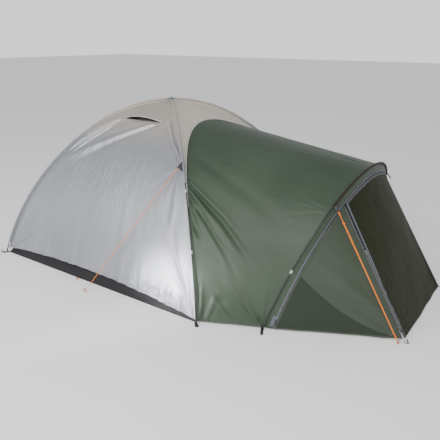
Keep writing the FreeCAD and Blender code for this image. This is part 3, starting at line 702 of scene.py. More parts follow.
def add_stage():
    glow = {"Emission_Color": (1, 1, 1, 1), "Emission_Strength": 0.24}
    pale = Shader("pale_floor", (0.86, 0.86, 0.86), 0.9, **glow).material
    corners = vec((-1, -1, 0), (1, -1, 0), (1, 1, 0), (-1, 1, 0)) * FLOOR_HALF
    faced("floor", corners, [(0, 1, 2, 3)], pale)
    world = bpy.data.worlds.new("studio")
    world.use_nodes = True
    nodes, links = world.node_tree.nodes, world.node_tree.links
    place, split, sky = (nodes.new(f"ShaderNode{kind}") for kind in ("TexCoord", "SeparateXYZ", "ValToRGB"))
    stops = ((HORIZON, (1, 1, 1, 1)), (HORIZON + 0.35, (*ZENITH, 1)))
    for element, (position, colour) in zip(sky.color_ramp.elements, stops):
        element.position = position
        element.color = colour
    links.new(place.outputs["Generated"], split.inputs[0])
    links.new(split.outputs["Z"], sky.inputs["Fac"])
    links.new(sky.outputs["Color"], nodes["Background"].inputs["Color"])
    nodes["Background"].inputs["Strength"].default_value = 1.25
    bpy.context.scene.world = world
    add_light("key", (-1.6, -6.0, 3.6), (0.3, -0.4, 0.4), 4.0, 200, (1.0, 0.99, 0.98))
    add_light("front", (2.6, -4.6, 4.2), (1.0, -0.3, 0.6), 2.5, 190, (1.0, 0.99, 0.97))
    add_light("corner", (-0.3, -3.1, 0.45), (0.82, -1.0, 0.20), 0.4, 1.6, spread=18)


add_camera()
add_stage()

# ---------------------------------------------------------------- guy lines
TAB_REACH = 0.044
TAB_TIP = 0.0045
RING_R = 0.007
LOOP_R = 0.0042
TURN_R = 0.010
TURN_Z = 0.012
KNOT_DOWN = 0.074
KNOT_HALF = 0.009


class Guy:
    """One guying point: its tab on a pole, the ring it holds, and the line's way to its peg."""

    def __init__(self, arch, place, lean, tab_half, peg_place):
        self.base = arch.at(place)
        self.along_pole = arch.ahead(place)
        self.lean = unit(lean)
        self.tab_half = tab_half
        self.low = peg_place + vec(0, 0, TURN_Z)
        self.ring = self.base + self.lean * (TAB_REACH + RING_R - 0.003)
        self.pull = unit(self.low - self.ring)
        self.through = self.ring + self.pull * RING_R
        self.side = unit(np.cross(self.pull, Z))
        self.face = np.cross(self.side, self.pull)


dome_guy = Guy(lower_pole, 0.974, vec(-13, -54, 0), 0.042, vec(0.096, -1.166, 0))
hoop_guy = Guy(hoop, 0.541, vec(55, -20, -60), 0.016, vec(2.222, -0.512, 0))


def cord(name, points):
    """A braided cord on a smooth line whose control points are the given ones."""
    curve = bpy.data.curves.new(name, "CURVE")
    curve.dimensions = "3D"
    curve.bevel_depth = CORD / 2
    curve.bevel_resolution = 4
    curve.resolution_u = 16
    curve.use_fill_caps = True
    spline = curve.splines.new("NURBS")
    spline.points.add(len(points) - 1)
    for point, place in zip(spline.points, points):
        point.co = (*place, 1)
    spline.order_u = 3
    spline.use_endpoint_u = True
    curve.materials.append(ORANGE)
    return put(link(bpy.data.objects.new(name, curve)), "orange_cord")


def guy_tab(name, guy, flip, *replaced):
    """A doubled triangle of cloth on the sleeve, bound along its two edges, with the ring at its tip."""
    base, lean, along_pole = guy.base * flip, guy.lean * flip, guy.along_pole * flip
    tip = base + lean * TAB_REACH
    half = np.linspace(-1, 1, 9)
    t = np.linspace(0, 1, 11)
    width = mix(guy.tab_half, TAB_TIP, t)
    middle = mix(base + lean * SLEEVE_R, tip, t[:, None])
    points = middle[:, None] + along_pole * (half[None, :, None] * width[:, None, None])
    face = unit(np.cross(along_pole, lean))
    points += face * (0.0012 * np.sin(half * 5)[None, :, None] * (1 - t)[:, None, None])
    slot = "grey_webbing"
    cloth(name, points, TAB, slot, *replaced, thickness=0.0018, offset=0)
    for label, edge, inside in (("a", 0, 1), ("b", -1, -2)):
        ribbon(f"{name}_binding_{label}", points[:, edge], face, 0.003, -0.0016, 0.0032, WEBBING, slot)
        stitches(f"{name}_thread_{label}", points[:, inside], face, slot, height=0.0012)
    tube(f"{name}_fold", [tip - along_pole * 0.005, tip, tip + along_pole * 0.005], 0.0024, TAB, slot)


def build_dome_line():
    pull, low = dome_guy.pull, dome_guy.low
    start = dome_guy.through + pull * LOOP_R
    end = low - pull * (TURN_R + 0.001)
    near_hold = pull * 6 * CORD
    line = cord("guy_cord_dome", [start, start + near_hold, end - near_hold, end])
    outward = unit(dome_guy.ring - dome_guy.base)
    ring_loop = loop("guy_loop_dome_ring", dome_guy.through, pull, outward, LOOP_R, ORANGE, "orange_cord")
    peg_loop = loop("guy_loop_dome_peg", low, pull, dome_guy.side, TURN_R, ORANGE, "orange_cord")
    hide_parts("guy_line_dome")
    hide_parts("guy_loops")


def build_hoop_line():
    """Down to the peg, round it and back up, with its two halves tied together below the ring."""
    pull, side, low, face = hoop_guy.pull, hoop_guy.side, hoop_guy.low, hoop_guy.face
    start = hoop_guy.through + pull * (LOOP_R + 0.003)
    knot = hoop_guy.through + pull * KNOT_DOWN
    down = [
        (start, -0.003, 0.0016),
        (knot, KNOT_HALF, 0),
        (knot + (low - knot) * 0.38, 0.0035, 0),
        (low - pull * 0.06, 0.004, 0),
        (low - pull * 6 * CORD, 0.007, 0),
        (low, TURN_R, 0),
        (low + pull * TURN_R, TURN_R, 0),
    ]
    points = [place + side * a + face * b for place, a, b in down]
    points += [place - side * a - face * b for place, a, b in reversed(down)]
    line = cord("guy_cord_hoop", points)
    round_ring = (hoop_guy.through, pull, face, LOOP_R + 0.0012)
    ring_loop = loop("guy_loop_hoop_ring", *round_ring, ORANGE, "orange_cord")
    turn = np.linspace(0, math.tau, 90, endpoint=False)[:, None]
    reach = 0.0055 + 0.0026 * np.cos(3 * turn)
    path = knot + side * np.cos(2 * turn) * reach * 1.5 + pull * np.sin(2 * turn) * reach
    path += face * 0.003 * np.sin(3 * turn)
    tied = tube("guy_knot_tied", path, CORD / 2, ORANGE, "orange_cord", "guy_knot", up=face, cyclic=True)
    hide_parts("guy_line_hoop")


def build_tabs():
    for pole, guy in (("dome", dome_guy), ("hoop", hoop_guy)):
        for label, flip in SIDES:
            first = pole == "dome" and label == "near"
            guy_tab(f"guy_tab_{pole}_{label}", guy, flip, *(("guy_tabs",) if first else ()))


# ---------------------------------------------------------------- flysheet over the dome
MOUTH = float(np.interp(VENT_MOUTH, profile(PLACES, FLY_GAP)[0], PLACES))
VENT_RUN = 1.25
SPLIT = 1.35  # below this place on the pole the rows of a wall follow its hem
SLOPES = total(np.hypot(*np.diff(profile(PLACES, FLY_GAP), axis=1)))
HEMS = {  # the hem's heights at one end, a middle place and the other end, and that middle place
    "side": ((0.045, 0.093, 0.016), -0.15),
    "back": ((0.045, 0.093, 0.045), 0.0),
}
WALL_HEM = 0.013
VENT_NET_INSET = 0.012

# places are (across, down the slope from the crown); then width, depth, ridge and fade
WALL_FOLDS = (
    (((-0.215, 0.385), (-0.44, 0.58), (-0.70, 0.84)), (0.009, 0.022), -0.0110, 0.9),
    (((-0.25, 0.45), (-0.46, 0.66), (-0.66, 0.87)), (0.009, 0.018), -0.0075, 0.9),
    (((0.20, 0.37), (-0.20, 0.60), (-0.68, 0.90)), (0.014, 0.045), -0.0120, 0.8),
    (((-0.19, 0.33), (-0.09, 0.275), (0.06, 0.23)), (0.010, 0.016), -0.0045, 0.8),
    (((0.58, 0.70), (0.42, 0.55), (0.24, 0.33)), (0.009, 0.016), -0.0140, 0.9, (0.04, 0.80)),
    (((0.60, 0.80), (0.66, 1.05), (0.70, 1.40)), (0.012, 0.04), -0.0045, 0.7),
)
# place, aim, spread, reach, depth, count and start
WALL_FANS = (
    ((0.20, 0.375), (-0.5, -0.45, -0.9), 1.2, 0.22, 0.0035, 9),
    ((-0.21, 0.385), (-0.2, -0.45, -0.9), 1.2, 0.20, 0.0030, 8),
    ((0.26, 0.25), (0.25, -0.45, -0.9), 0.7, 0.60, 0.0065, 12, 0.08),
    ((1.02, 1.78), (-0.25, 0, 1), 0.60, 0.60, 0.0190, 8),
    ((-1.02, 1.75), (0.6, 0, 0.8), 0.8, 0.45, 0.0105, 8),
    ((0.60, 0.74), (-0.4, -0.2, -0.9), 0.9, 0.30, 0.0035, 6),
)


def on_wall(places):
    """Points on the near wall, from pairs of across and down the slope from the crown."""
    at = []
    for x, slope in places:
        out, height = profile(np.interp(slope, SLOPES, PLACES), FLY_GAP)
        at.append(vec(x, -out, height))
    return at


def wall_grid(kind, across, below, above, stops=()):
    """Points on a wall facing -Y: rows between the two poles, columns from the hem to the crown."""
    u = np.linspace(-1, 1, across)
    foot_out = profile(lower_pole.half_length - POLE_END, FLY_GAP)[0]
    heights, middle = HEMS[kind]
    hem_height = np.polyval(np.polyfit([-HALF_SIDE, middle, HALF_SIDE], heights, 2), u * foot_out)
    hem = place_at_height(hem_height, FLY_GAP)
    low = hem[:, None] + (SPLIT - hem[:, None]) * np.linspace(0, 1, below)[:-1]
    high = np.linspace(SPLIT, 0, above)
    for stop in stops:
        high[np.argmin(np.abs(high - stop))] = stop
    rows = np.concatenate([low, np.broadcast_to(high, (across, above))], 1)
    out, height = profile(rows, FLY_GAP)
    return np.stack([u[:, None] * out, -out, height], -1), rows


def side_wall(seed):
    """A long side of the flysheet, with the folds that its vent, corners and guy line pull into it."""
    points, rows = wall_grid("side", 361, 91, 181, stops=(MOUTH, MOUTH - 0.10))
    x = points[..., 0]
    slope = np.interp(rows, PLACES, SLOPES)
    relief = Relief(
        points,
        ((0.30, 0.42), 0.0022, seed),
        ((0.055, 0.13), 0.0007, seed + 3, False, smooth(0.2, 0.6, slope)),
    )
    above_hem = (points[..., 2] - points[:, :1, 2]) / 0.9
    ripple = noise(np.stack([x, above_hem * 0.35], -1), (0.034, 0.30), seed + 5)
    relief.height += 0.0060 * ripple * bell(above_hem / 0.15)
    long_ripple = noise(np.stack([x + 0.1 * above_hem, above_hem], -1), (0.075, 0.8), seed + 6)
    relief.height += 0.0040 * long_ripple * bell(above_hem / 0.42)
    hem_crush = bell((above_hem - 0.05) / 0.07) * smooth(-0.3, 0.2, x)
    relief.rumple((0.032, 0.060), 0.0030, seed + 8, sharp=True, where=hem_crush)
    middle = smooth(0.30, 0.45, slope) * smooth(1.5, 0.7, slope)
    relief.rumple((0.026, 0.110), 0.0012, seed + 9, sharp=True, where=middle)
    relief.folds(on_wall, WALL_FOLDS)
    relief.fans(on_wall, seed + 10, WALL_FANS)
    relief.hold(0, 1, reach=0.035)
    relief.hold(3, reach=0.12)
    beyond = np.maximum(rows - MOUTH, MOUTH - VENT_RUN * VENT_DEPTH - rows) / VENT_RUN
    away = np.maximum(beyond, 0) + np.maximum(np.abs(x - VENT_X) - VENT_HALF, 0)
    relief.height *= smooth(0.0, 0.05, away)
    relief.height *= smooth(0.03, 0.09, np.hypot(x - VENT_X, slope - np.interp(MOUTH, PLACES, SLOPES)))
    opening = (np.abs(x - VENT_X) < VENT_HALF - 0.022) & (rows < MOUTH + 0.001) & (rows > MOUTH - 0.101)
    faces = opening[:-1, :-1] & opening[1:, :-1] & opening[1:, 1:] & opening[:-1, 1:]
    return relief.shaped(), ~faces


def vent_place(x, slope, rise):
    """A point near the vent: across, up the slope from its mouth, and out of the wall."""
    out, height = profile(MOUTH - slope * VENT_RUN, FLY_GAP - rise)
    return np.stack([np.broadcast_to(x, out.shape), -out, height], -1)


def hood_surface(u, v):
    return vent_place(VENT_X + u * VENT_HALF, v * VENT_DEPTH, 0.0016 + VENT_LIFT * (1 - u * u) * (1 - v))


def net_surface(u, v):
    return vent_place(VENT_X + u * (VENT_HALF - VENT_NET_INSET), v * 0.092 - 0.006, -0.0025)


def build_vent(label, place):
    relief = Relief(sample(hood_surface, (-1, 1), (0, 1), (101, 41)), ((0.05, 0.09), 0.0014, 31))
    relief.hold(0, 1, 3, reach=0.03)
    relief.hold(2, reach=0.015)
    hood = relief.shaped()
    cover = cloth(f"vent_hood_cloth_{label}", place(hood), SILVER, "silver_fly", f"vent_hood_{label}")
    edge = lift(place(strip_of(hood, 0.009)), 0.0010)
    hem = cloth(f"vent_hood_hem_{label}", edge, PIPING, "silver_fly", thickness=0.0026)
    netting = place(sample(net_surface, (-1, 1), (0, 1), (96, 25)))
    net(f"vent_net_{label}", netting, f"vent_mesh_{label}")


def hang_wall(label, points, keep=None):
    wall = cloth(f"fly_wall_{label}", points, SILVER, "silver_fly", f"fly_{label}", keep=keep)
    hem_band(f"fly_hem_{label}", points, SILVER, "silver_fly", width=WALL_HEM)


def build_walls():
    for label, place, seed in (("near", same, 11), ("far", flipped, 47)):
        points, keep = side_wall(seed)
        hang_wall(label, place(points), keep if label == "near" else keep[::-1])
        build_vent(label, place)
    points, _ = wall_grid("back", 241, 61, 121)
    relief = Relief(points, ((0.30, 0.42), 0.0025, 71), ((0.06, 0.14), 0.0008, 73))
    above_hem = points[..., 2] - points[:, :1, 2]
    ripple = noise(np.stack([points[..., 0], above_hem], -1), (0.04, 0.35), 75)
    relief.height += 0.0042 * ripple * bell(above_hem / 0.17)
    for side in (-1, 1):
        corner = ((side * 1.02, 1.76), (-0.5 * side, 0, 0.9), 0.7, 0.5, 0.0080, 6)
        relief.fans(on_wall, 77 + side, [corner])
    relief.hold(0, 1, reach=0.035)
    relief.hold(3, reach=0.12)
    hang_wall("back", turned(relief.shaped(), -1))


def seam_curve(count):
    """The porch seam's near half on the front face, from the pole to the top: across and height."""
    out = float(out_at_height(ARCH_LEAVE, FLY_GAP))
    above = float(out_at_height(ARCH_LEAVE + 0.01, FLY_GAP))
    a = vec(0, -out, ARCH_LEAVE)
    b = a + unit(vec(0, out - above, 0.01)) * ARCH_PULL
    c, d = vec(0, -ARCH_FLAT, ARCH_TOP), vec(0, 0, ARCH_TOP)
    t = np.linspace(0, 1, count)[:, None]
    return a * (1 - t) ** 3 + 3 * b * t * (1 - t) ** 2 + 3 * c * t * t * (1 - t) + d * t**3


def seam_points():
    """The seam between dome and porch from its near foot to its top, on the dome's front face."""
    leave = float(place_at_height(ARCH_LEAVE, FLY_GAP))
    out, height = profile(np.linspace(lower_pole.half_length, leave, LEG_POINTS), FLY_GAP)
    leg = np.stack([out + PORCH_GAP, -out, height], -1)
    curve = seam_curve(60)[1:]
    curve[:, 0] = out_at_height(curve[:, 2], FLY_GAP) + PORCH_GAP
    return np.concatenate([leg, curve])


def both_halves(near):
    """A near half and its mirror image, from the near end over the top to the far one."""
    return np.concatenate([near, flipped(near)[1:]])


def build_gable():
    """The front wall above the porch's seam, in rows from the seam up to the crown."""
    line = both_halves(seam_curve(101))
    place = place_at_height(line[:, 2], FLY_GAP)
    share = line[:, 1] / profile(place, FLY_GAP)[0]
    out, height = profile(place[:, None] * (1 - np.linspace(0, 1, 81)), FLY_GAP)
    relief = Relief(np.stack([out, share[:, None] * out, height], -1), ((0.11, 0.16), 0.0012, 91))
    relief.fan(93, vec(0.02, 0, CROWN - 0.015), (1, 0, -0.3), 1.3, 0.6, 0.0040, 14, 0.06)
    relief.hold(0, 1, 2, reach=0.03)
    relief.hold(3, reach=0.10)
    # The gable takes the lighter copy of the silver fly: painted light.
    cloth("fly_gable", relief.shaped(), PAINTED_LIGHT_GABLE, "silver_fly", "fly_front_gable")


# ---------------------------------------------------------------- porch
NEAR_SEAM = seam_points()
SIDE_FOOT = NEAR_CORNER + unit(rim.at(rim.half_length) - NEAR_CORNER) * 0.012
SIDE_POST = SIDE_FOOT + unit(rim.at(rim_corner) - NEAR_CORNER) * 0.045
RIM_GAP = 0.0034  # a door's gap at the zip arch, as a share of its depth
FRONT_EDGE = 0.989  # where the front door's two edges are, as a share of the corners' places
DOOR_COUNTS = (161, 161)
SHADE_TOP = 0.44  # how far up the zip arch the painted shade on the side door's lower part reaches

# places are (q, v) on the canopy's near half; then width, depth, ridge and fade
CANOPY_FOLDS = (
    (((0.46, 0.0), (0.585, 0.31), (0.71, 0.62), (0.80, 0.90)), (0.011, 0.034), 0.019, 0.9, (0.05, 0.45)),
    (((0.48, 0.01), (0.55, 0.10), (0.62, 0.23)), (0.008, 0.016), 0.010, 0.9),
    (((0.50, 0.0), (0.57, 0.05), (0.67, 0.13)), (0.007, 0.014), 0.009, 0.9),
    (((0.56, 0.0), (0.66, 0.07), (0.74, 0.10)), (0.008, 0.016), 0.008, 0.9),
    (((0.985, 0.95), (0.885, 0.60), (0.80, 0.33)), (0.009, 0.026), -0.010, 0.8),
    (((0.975, 0.92), (0.90, 0.72), (0.80, 0.56)), (0.008, 0.020), -0.008, 0.8),
    (((0.99, 0.93), (0.94, 0.60), (0.90, 0.30)), (0.010, 0.022), -0.007, 0.8),
    (((0.99, 0.06), (0.92, 0.10), (0.84, 0.10)), (0.010, 0.020), -0.008, 0.8),
    (((0.99, 0.16), (0.93, 0.24), (0.87, 0.30)), (0.012, 0.024), -0.007, 0.8),
    (((0.30, 0.02), (0.42, 0.45), (0.55, 0.90)), (0.03, 0.06), 0.006, 0.8, (0.2, 0.6)),
    (((0.52, 0.0), (0.61, 0.17), (0.72, 0.38), (0.82, 0.55)), (0.008, 0.022), 0.012, 0.9, (0.04, 0.5)),
    (((0.985, 0.90), (0.93, 0.50), (0.87, 0.18)), (0.009, 0.020), 0.009, 0.9),
    (((0.98, 0.55), (0.92, 0.38), (0.86, 0.24)), (0.009, 0.018), 0.008, 0.9),
    (((0.60, 0.0), (0.66, 0.06), (0.70, 0.14)), (0.006, 0.012), 0.009, 0.9),
)
CANOPY_FANS = (
    ((0.47, 0.0), (0.5, -0.3, -0.8), 0.8, 0.45, 0.010, 6),
    ((0.995, 0.97), (-0.5, 0, 0.8), 0.9, 0.40, 0.009, 6),
    ((0.995, 0.03), (0.35, 0, 0.9), 0.8, 0.30, 0.006, 5),
    ((0.40, 1.0), (-0.9, 0, 0.1), 0.8, 0.28, 0.004, 7),
)
SIDE_DOOR_FOLDS = (
    (((0.50, 0.93), (0.46, 0.50), (0.42, 0.12)), (0.03, 0.06), 0.016, 0.7, (0.15, 0.7)),
    (((0.70, 0.95), (0.62, 0.60), (0.52, 0.20)), (0.02, 0.06), -0.007, 0.7),
    (((0.30, 0.95), (0.25, 0.55), (0.17, 0.25)), (0.02, 0.05), 0.007, 0.7),
)
SIDE_DOOR_FANS = (
    ((0.5, 0.98), (-1, -0.3, 0.3), 0.8, 0.7, 0.008, 5),
    ((0.97, 0.02), (0.1, 0, -1), 0.9, 0.22, 0.005, 7),
)
FRONT_DOOR_FANS = (
    ((0.97, 0.02), (0.2, 0.5, -1), 1.2, 0.4, 0.010, 8),
    ((-0.97, 0.02), (0.2, -0.5, -1), 1.2, 0.4, 0.008, 8),
    ((-0.97, 0.98), (-0.6, -0.4, 0.8), 0.8, 0.5, 0.008, 6),
)


def canopy(q, v):
    """From the dome's seam (v = 0) to the hoop (v = 1); q is 1 at the near foot, -1 at the far one."""
    seam = along(NEAR_SEAM, 1 - np.abs(q))
    seam = seam * np.stack([np.ones_like(q), np.where(q < 0, -1, 1), np.ones_like(q)], -1)
    return mix(seam, hoop.at(q * hoop.half_length, -FLY_GAP), v[..., None])


def header(q, v):
    """The band from the hoop to the zip arch."""
    return mix(hoop.at(q * hoop.half_length, -FLY_GAP), rim.at(q * rim.half_length), v[..., None])


def side_door(a, b):
    """The near triangle: a from the zip arch's foot to the top corner, b from the arch to the front."""
    on_rim = rim.at(rim.half_length + (rim_corner + 0.006 - rim.half_length) * a)
    return mix(on_rim, mix(SIDE_FOOT, SIDE_POST, a[..., None]), b[..., None])


def front_door(c, b):
    """The front panel: c is 1 at the near edge and -1 at the far one, b from the arch to the ground."""
    low = np.stack([np.full_like(c, FRONT_X), -FRONT_HALF * c, np.full_like(c, HEM_CLEAR)], -1)
    return mix(rim.at(c * rim_corner), low, b[..., None])


def on(surface, side=1):
    """Finds points on a surface, from pairs of its own two measures, on one side or mirrored."""
    def locate(places):
        u, v = np.array(places, float).T
        return list(surface(side * u, v))

    return locate


def build_canopy():
    """One sheet from foot to foot, pulled into folds between the dome's poles and the hoop's feet."""
    points = sample(canopy, (1, -1), (0, 1), (421, 121))[::-1]
    relief = Relief(points, ((0.28, 0.34), 0.0045, 5), ((0.07, 0.22), 0.0010, 8))
    for side in (1, -1):
        relief.folds(on(canopy, side), CANOPY_FOLDS)
        fans = [(place, aim * vec(1, side, 1), *rest) for place, aim, *rest in CANOPY_FANS]
        relief.fans(on(canopy, side), 21, fans)
    relief.fan(25, on(canopy)([(0.0, 1.0)])[0], (-1, 0, 0.1), 1.1, 0.5, 0.0035, 12, 0.06)
    relief.hold(2, 3, reach=0.03)
    points = relief.shaped()
    nodes = ("porch_side_near", "porch_roof", "porch_side_far")
    sheet = cloth("porch_canopy", points, GREEN, "green_fly", *nodes)
    trim = []
    for label, edge in (("far", crossed(points[:4])[::-1]), ("near", crossed(points[::-1][:4]))):
        trim += hem_band(f"porch_hem_{label}", edge, GREEN, "green_fly")

    points = sample(header, (-1, 1), (0.0, 1), (301, 11))
    relief = Relief(points, ((0.05, 0.05), 0.0014, 13), ((0.022, 0.06), 0.0007, 14))
    relief.hold(2, 3, reach=0.012)
    cloth("porch_header_band", relief.shaped(), GREEN, "green_fly", "porch_header")


def build_side_door():
    points = sample(side_door, (1, 0), (RIM_GAP, 1), DOOR_COUNTS)
    relief = Relief(points, ((0.22, 0.26), 0.0035, 33), ((0.07, 0.09), 0.0010, 34))
    relief.folds(on(side_door), SIDE_DOOR_FOLDS)
    relief.fans(on(side_door), 35, SIDE_DOOR_FANS)
    relief.hold(0, 2, 3, reach=0.03)
    near = relief.shaped()
    slot = "dark_green_fly"
    door = cloth("side_door_cloth", near, DARK_GREEN, slot, "side_door", body="side_door")
    # Faces below a line rising from the zip arch's foot take the darker copy: painted shade on the door's
    # lower part.
    door.data.materials.append(SHADED_GREEN)
    a, b = grid(np.linspace(1, 0, DOOR_COUNTS[0]), np.linspace(0, 1, DOOR_COUNTS[1]))
    below = (a < SHADE_TOP * (1 - b) ** 0.55)[:-1, :-1].ravel()
    door.data.polygons.foreach_set("material_index", below[: len(door.data.polygons)].astype(np.int32))
    edge = crossed(near[::-1])[::-1]
    hem_band("side_door_hem", edge, DARK_GREEN, slot, "side_door")
    cloth("far_panel_cloth", flipped(near), DARK_GREEN, slot, "side_panel_far")


def build_front_door():
    points = sample(front_door, (-FRONT_EDGE, FRONT_EDGE), (RIM_GAP, 1), (181, 161))
    near_edge = smooth(0.25, 0.0, np.linalg.norm(points - points[-1:], axis=2))
    relief = Relief(
        points,
        ((0.26, 0.30), 0.0050, 53),
        ((0.09, 0.12), 0.0016, 54, True),
        ((0.030, 0.030), 0.0030, 56, True, near_edge),
    )
    relief.fans(on(front_door), 57, FRONT_DOOR_FANS)
    relief.hold(0, 1, 2, reach=0.03)
    points = relief.shaped()
    slot = "dark_green_fly"
    # The front door's cloth and hem take the darker copy of the door green: painted shade.
    door = cloth("front_door_cloth", points, SHADED_DOOR_GREEN, slot, "front_door", body="front_door")
    hem = crossed(crossed(points[:, ::-1])[:8])[::-1]
    hem_band("front_door_hem", hem, SHADED_DOOR_GREEN, slot, "front_door")


# ---------------------------------------------------------------- zips
def zip_strip(name, points, material, *replaced, body):
    """A woven zip tape with its two rows of stitches."""
    lifted = lift(points, 0.0016)
    cloth(name, lifted, material, "zip_tape", *replaced, body=body, thickness=0.0012)
    sew(name, lifted, {"a": 1, "b": -2}, "zip_tape", body)


def coil(name, path, body):
    """A nylon zip coil: a cord that swells at every tooth."""
    fine = even(path, 0.0008)
    teeth = 0.0011 + 0.00045 * np.sin(np.arange(len(fine)) * math.tau / 3.2)
    tube(name, fine, teeth, BLACK_PLASTIC, "zip_tape", body=body, sides=6)


def build_zips():
    ends = (-0.985, 0.985)
    band = sample(header, ends, (0.80, 0.985), (301, 5))
    zip_strip("header_tape", band, ZIP, "header_zip_tape", body="root")
    coil("header_coil", lift(sample(header, ends, (0.97, 1.0), (301, 3)), 0.0022)[:, 1], "root")
    below_rim = (RIM_GAP + 0.001, RIM_GAP + 0.016)
    arch = sample(side_door, (0.97, 0.01), below_rim, (161, 5))
    zip_strip("side_door_tape_arch", arch, DARK_GREEN, "side_door_zip_tapes", body="side_door")
    edge = crossed(sample(side_door, (0.999, 0.985), (0.03, 0.93), (5, 101)))[:, ::-1]
    zip_strip("side_door_tape_edge", edge, BLACK_TAPE, body="side_door")
    top = sample(front_door, (-0.985, 0.945), below_rim, (161, 5))
    zip_strip("front_door_tape_top", top, BLACK_TAPE, "front_door_zip_tapes", body="front_door")
    edge = crossed(sample(front_door, (0.945, 0.985), (RIM_GAP + 0.003, 0.985), (5, 121)))[:, ::-1]
    zip_strip("front_door_tape_edge", edge, ZIP, body="front_door")
    # A black strip set back in the gap between the side and front doors: painted shade in the gap.
    share, b = grid(np.linspace(0.80, -0.6, 9), np.linspace(0.02, 0.97, 81))
    gap = mix(side_door(1 + 0 * b, b), front_door(FRONT_EDGE + 0 * b, b), share[..., None])
    cloth("side_door_gap_shade", lift(gap, -0.005), BLACK_TAPE, "zip_tape", body="side_door")
    cloth("far_panel_gap_shade", lift(flipped(gap), -0.005), BLACK_TAPE, "zip_tape")
    near = sample(front_door, (0.985, 0.992), (0.01, 0.99), (3, 201))
    coil("front_zip_coil", lift(near, 0.0018)[1], "front_door")
    coil("side_door_coil", lift(arch, 0.0022)[:, 0], "side_door")


# ---------------------------------------------------------------- inner tent
DOOR_TOP = DOOR_SPRING + DOOR_HALF
WINDOW = DOOR_HALF - 0.090
NET_OVERLAP = 0.010
SLIT = 0.004  # half the width that an opening keeps where it isn't cut
NUDGE = 1e-6


def build_tub():
    """The floor and its low walls: one sheet, folded up along the four sides."""
    up = np.linspace(1, 1.16, 17)
    line = np.concatenate([-up[::-1], np.linspace(-1, 1, 121)[1:-1], up])
    v, u = grid(line, line)
    r = np.maximum(np.abs(u), np.abs(v))
    raised = np.clip((r - 1) / (up[-1] - 1), 0, 1)
    share = np.minimum(np.abs(u), np.abs(v)) / np.maximum(r, 0.01)
    top_half = float(out_at_height(TUB_TOP, INNER_INSET))
    bulge = np.sin(math.pi * raised)
    half = mix(TUB_HALF, top_half, raised) + 0.020 * bulge * (1 - share**4)
    square = np.maximum(r, 1)
    points = np.stack([u / square * half, v / square * half, 0.001 + (TUB_TOP - 0.001) * raised], -1)
    rumples = ((0.16, 0.12), 0.0035, 101, False, bulge), ((0.05, 0.05), 0.0012, 103, False, bulge)
    points = Relief(points, *rumples).shaped()
    cloth("tub_sheet", points, TUB, "tub_fabric", "groundsheet_tub")


def round_top(heights, half):
    """Half the width of an opening with straight sides and a half-circle top; a slit above it."""
    above = np.clip(heights - DOOR_SPRING, 0, None)
    return np.sqrt(np.clip(half**2 - above**2, SLIT**2, None))


def framed(heights, outer, inner, low, high):
    """A part of the front wall round an opening from low to high, and the faces that are cloth."""
    side = np.linspace(0, 1, 31)[:, None]
    middle = np.linspace(-1, 1, 31)[1:-1, None]
    across = np.concatenate([mix(-outer, -inner, side), middle * inner, mix(inner, outer, side)])
    out = np.broadcast_to(out_at_height(heights, INNER_INSET), across.shape)
    points = np.stack([across, -out, np.broadcast_to(heights, across.shape)], -1)
    inside = (heights > low - NUDGE) & (heights < high + NUDGE)
    keep = np.ones((len(across) - 1, len(heights) - 1), bool)
    keep[30:60] = ~(inside[:-1] & inside[1:])
    relief = Relief(turned(points, 1), ((0.16, 0.22), 0.0030, 111))
    relief.height *= smooth(0.0, 0.06, np.abs(np.abs(across) - round_top(heights, DOOR_HALF)))
    relief.hold(0, 1, 2, 3, reach=0.05)
    return relief.shaped(), keep


def doorway(shift, height):
    """The doorway's outline on the front wall, moved outwards by shift, and its directions out."""
    half = DOOR_HALF + shift
    turn = np.linspace(0, math.pi, 61)
    arch = np.stack([half * np.cos(turn), DOOR_SPRING + half * np.sin(turn)], -1)
    foot = DOOR_SILL - shift
    outline = even(np.concatenate([[(0, foot), (half, foot)], arch, [(-half, foot), (0, foot)]]), STEP)
    out = out_at_height(outline[:, 1], INNER_INSET - height)
    higher = out_at_height(outline[:, 1] + 0.01, INNER_INSET - height)
    facing = unit(np.stack([np.full_like(out, 0.01), 0 * out, out - higher], -1))
    return np.stack([out, outline[:, 0], outline[:, 1]], -1), facing


def build_inner_walls():
    rows = np.linspace(float(place_at_height(TUB_TOP, INNER_INSET)), 0, 81)
    out, height = profile(rows, INNER_INSET)
    u = np.linspace(-1, 1, 121)[:, None]
    wall = np.stack(np.broadcast_arrays(u * out, -out, height), -1)
    for label, points in (("near", wall), ("far", flipped(wall)), ("back", turned(wall, -1))):
        seed = 121 + len(label)
        relief = Relief(points, ((0.18, 0.26), 0.0050, seed), ((0.06, 0.10), 0.0010, seed + 10))
        relief.hold(0, 1, 2, reach=0.05)
        relief.hold(3, reach=0.15)
        sheet = cloth(f"inner_cloth_{label}", relief.shaped(), INNER, "inner_fabric", f"inner_wall_{label}")


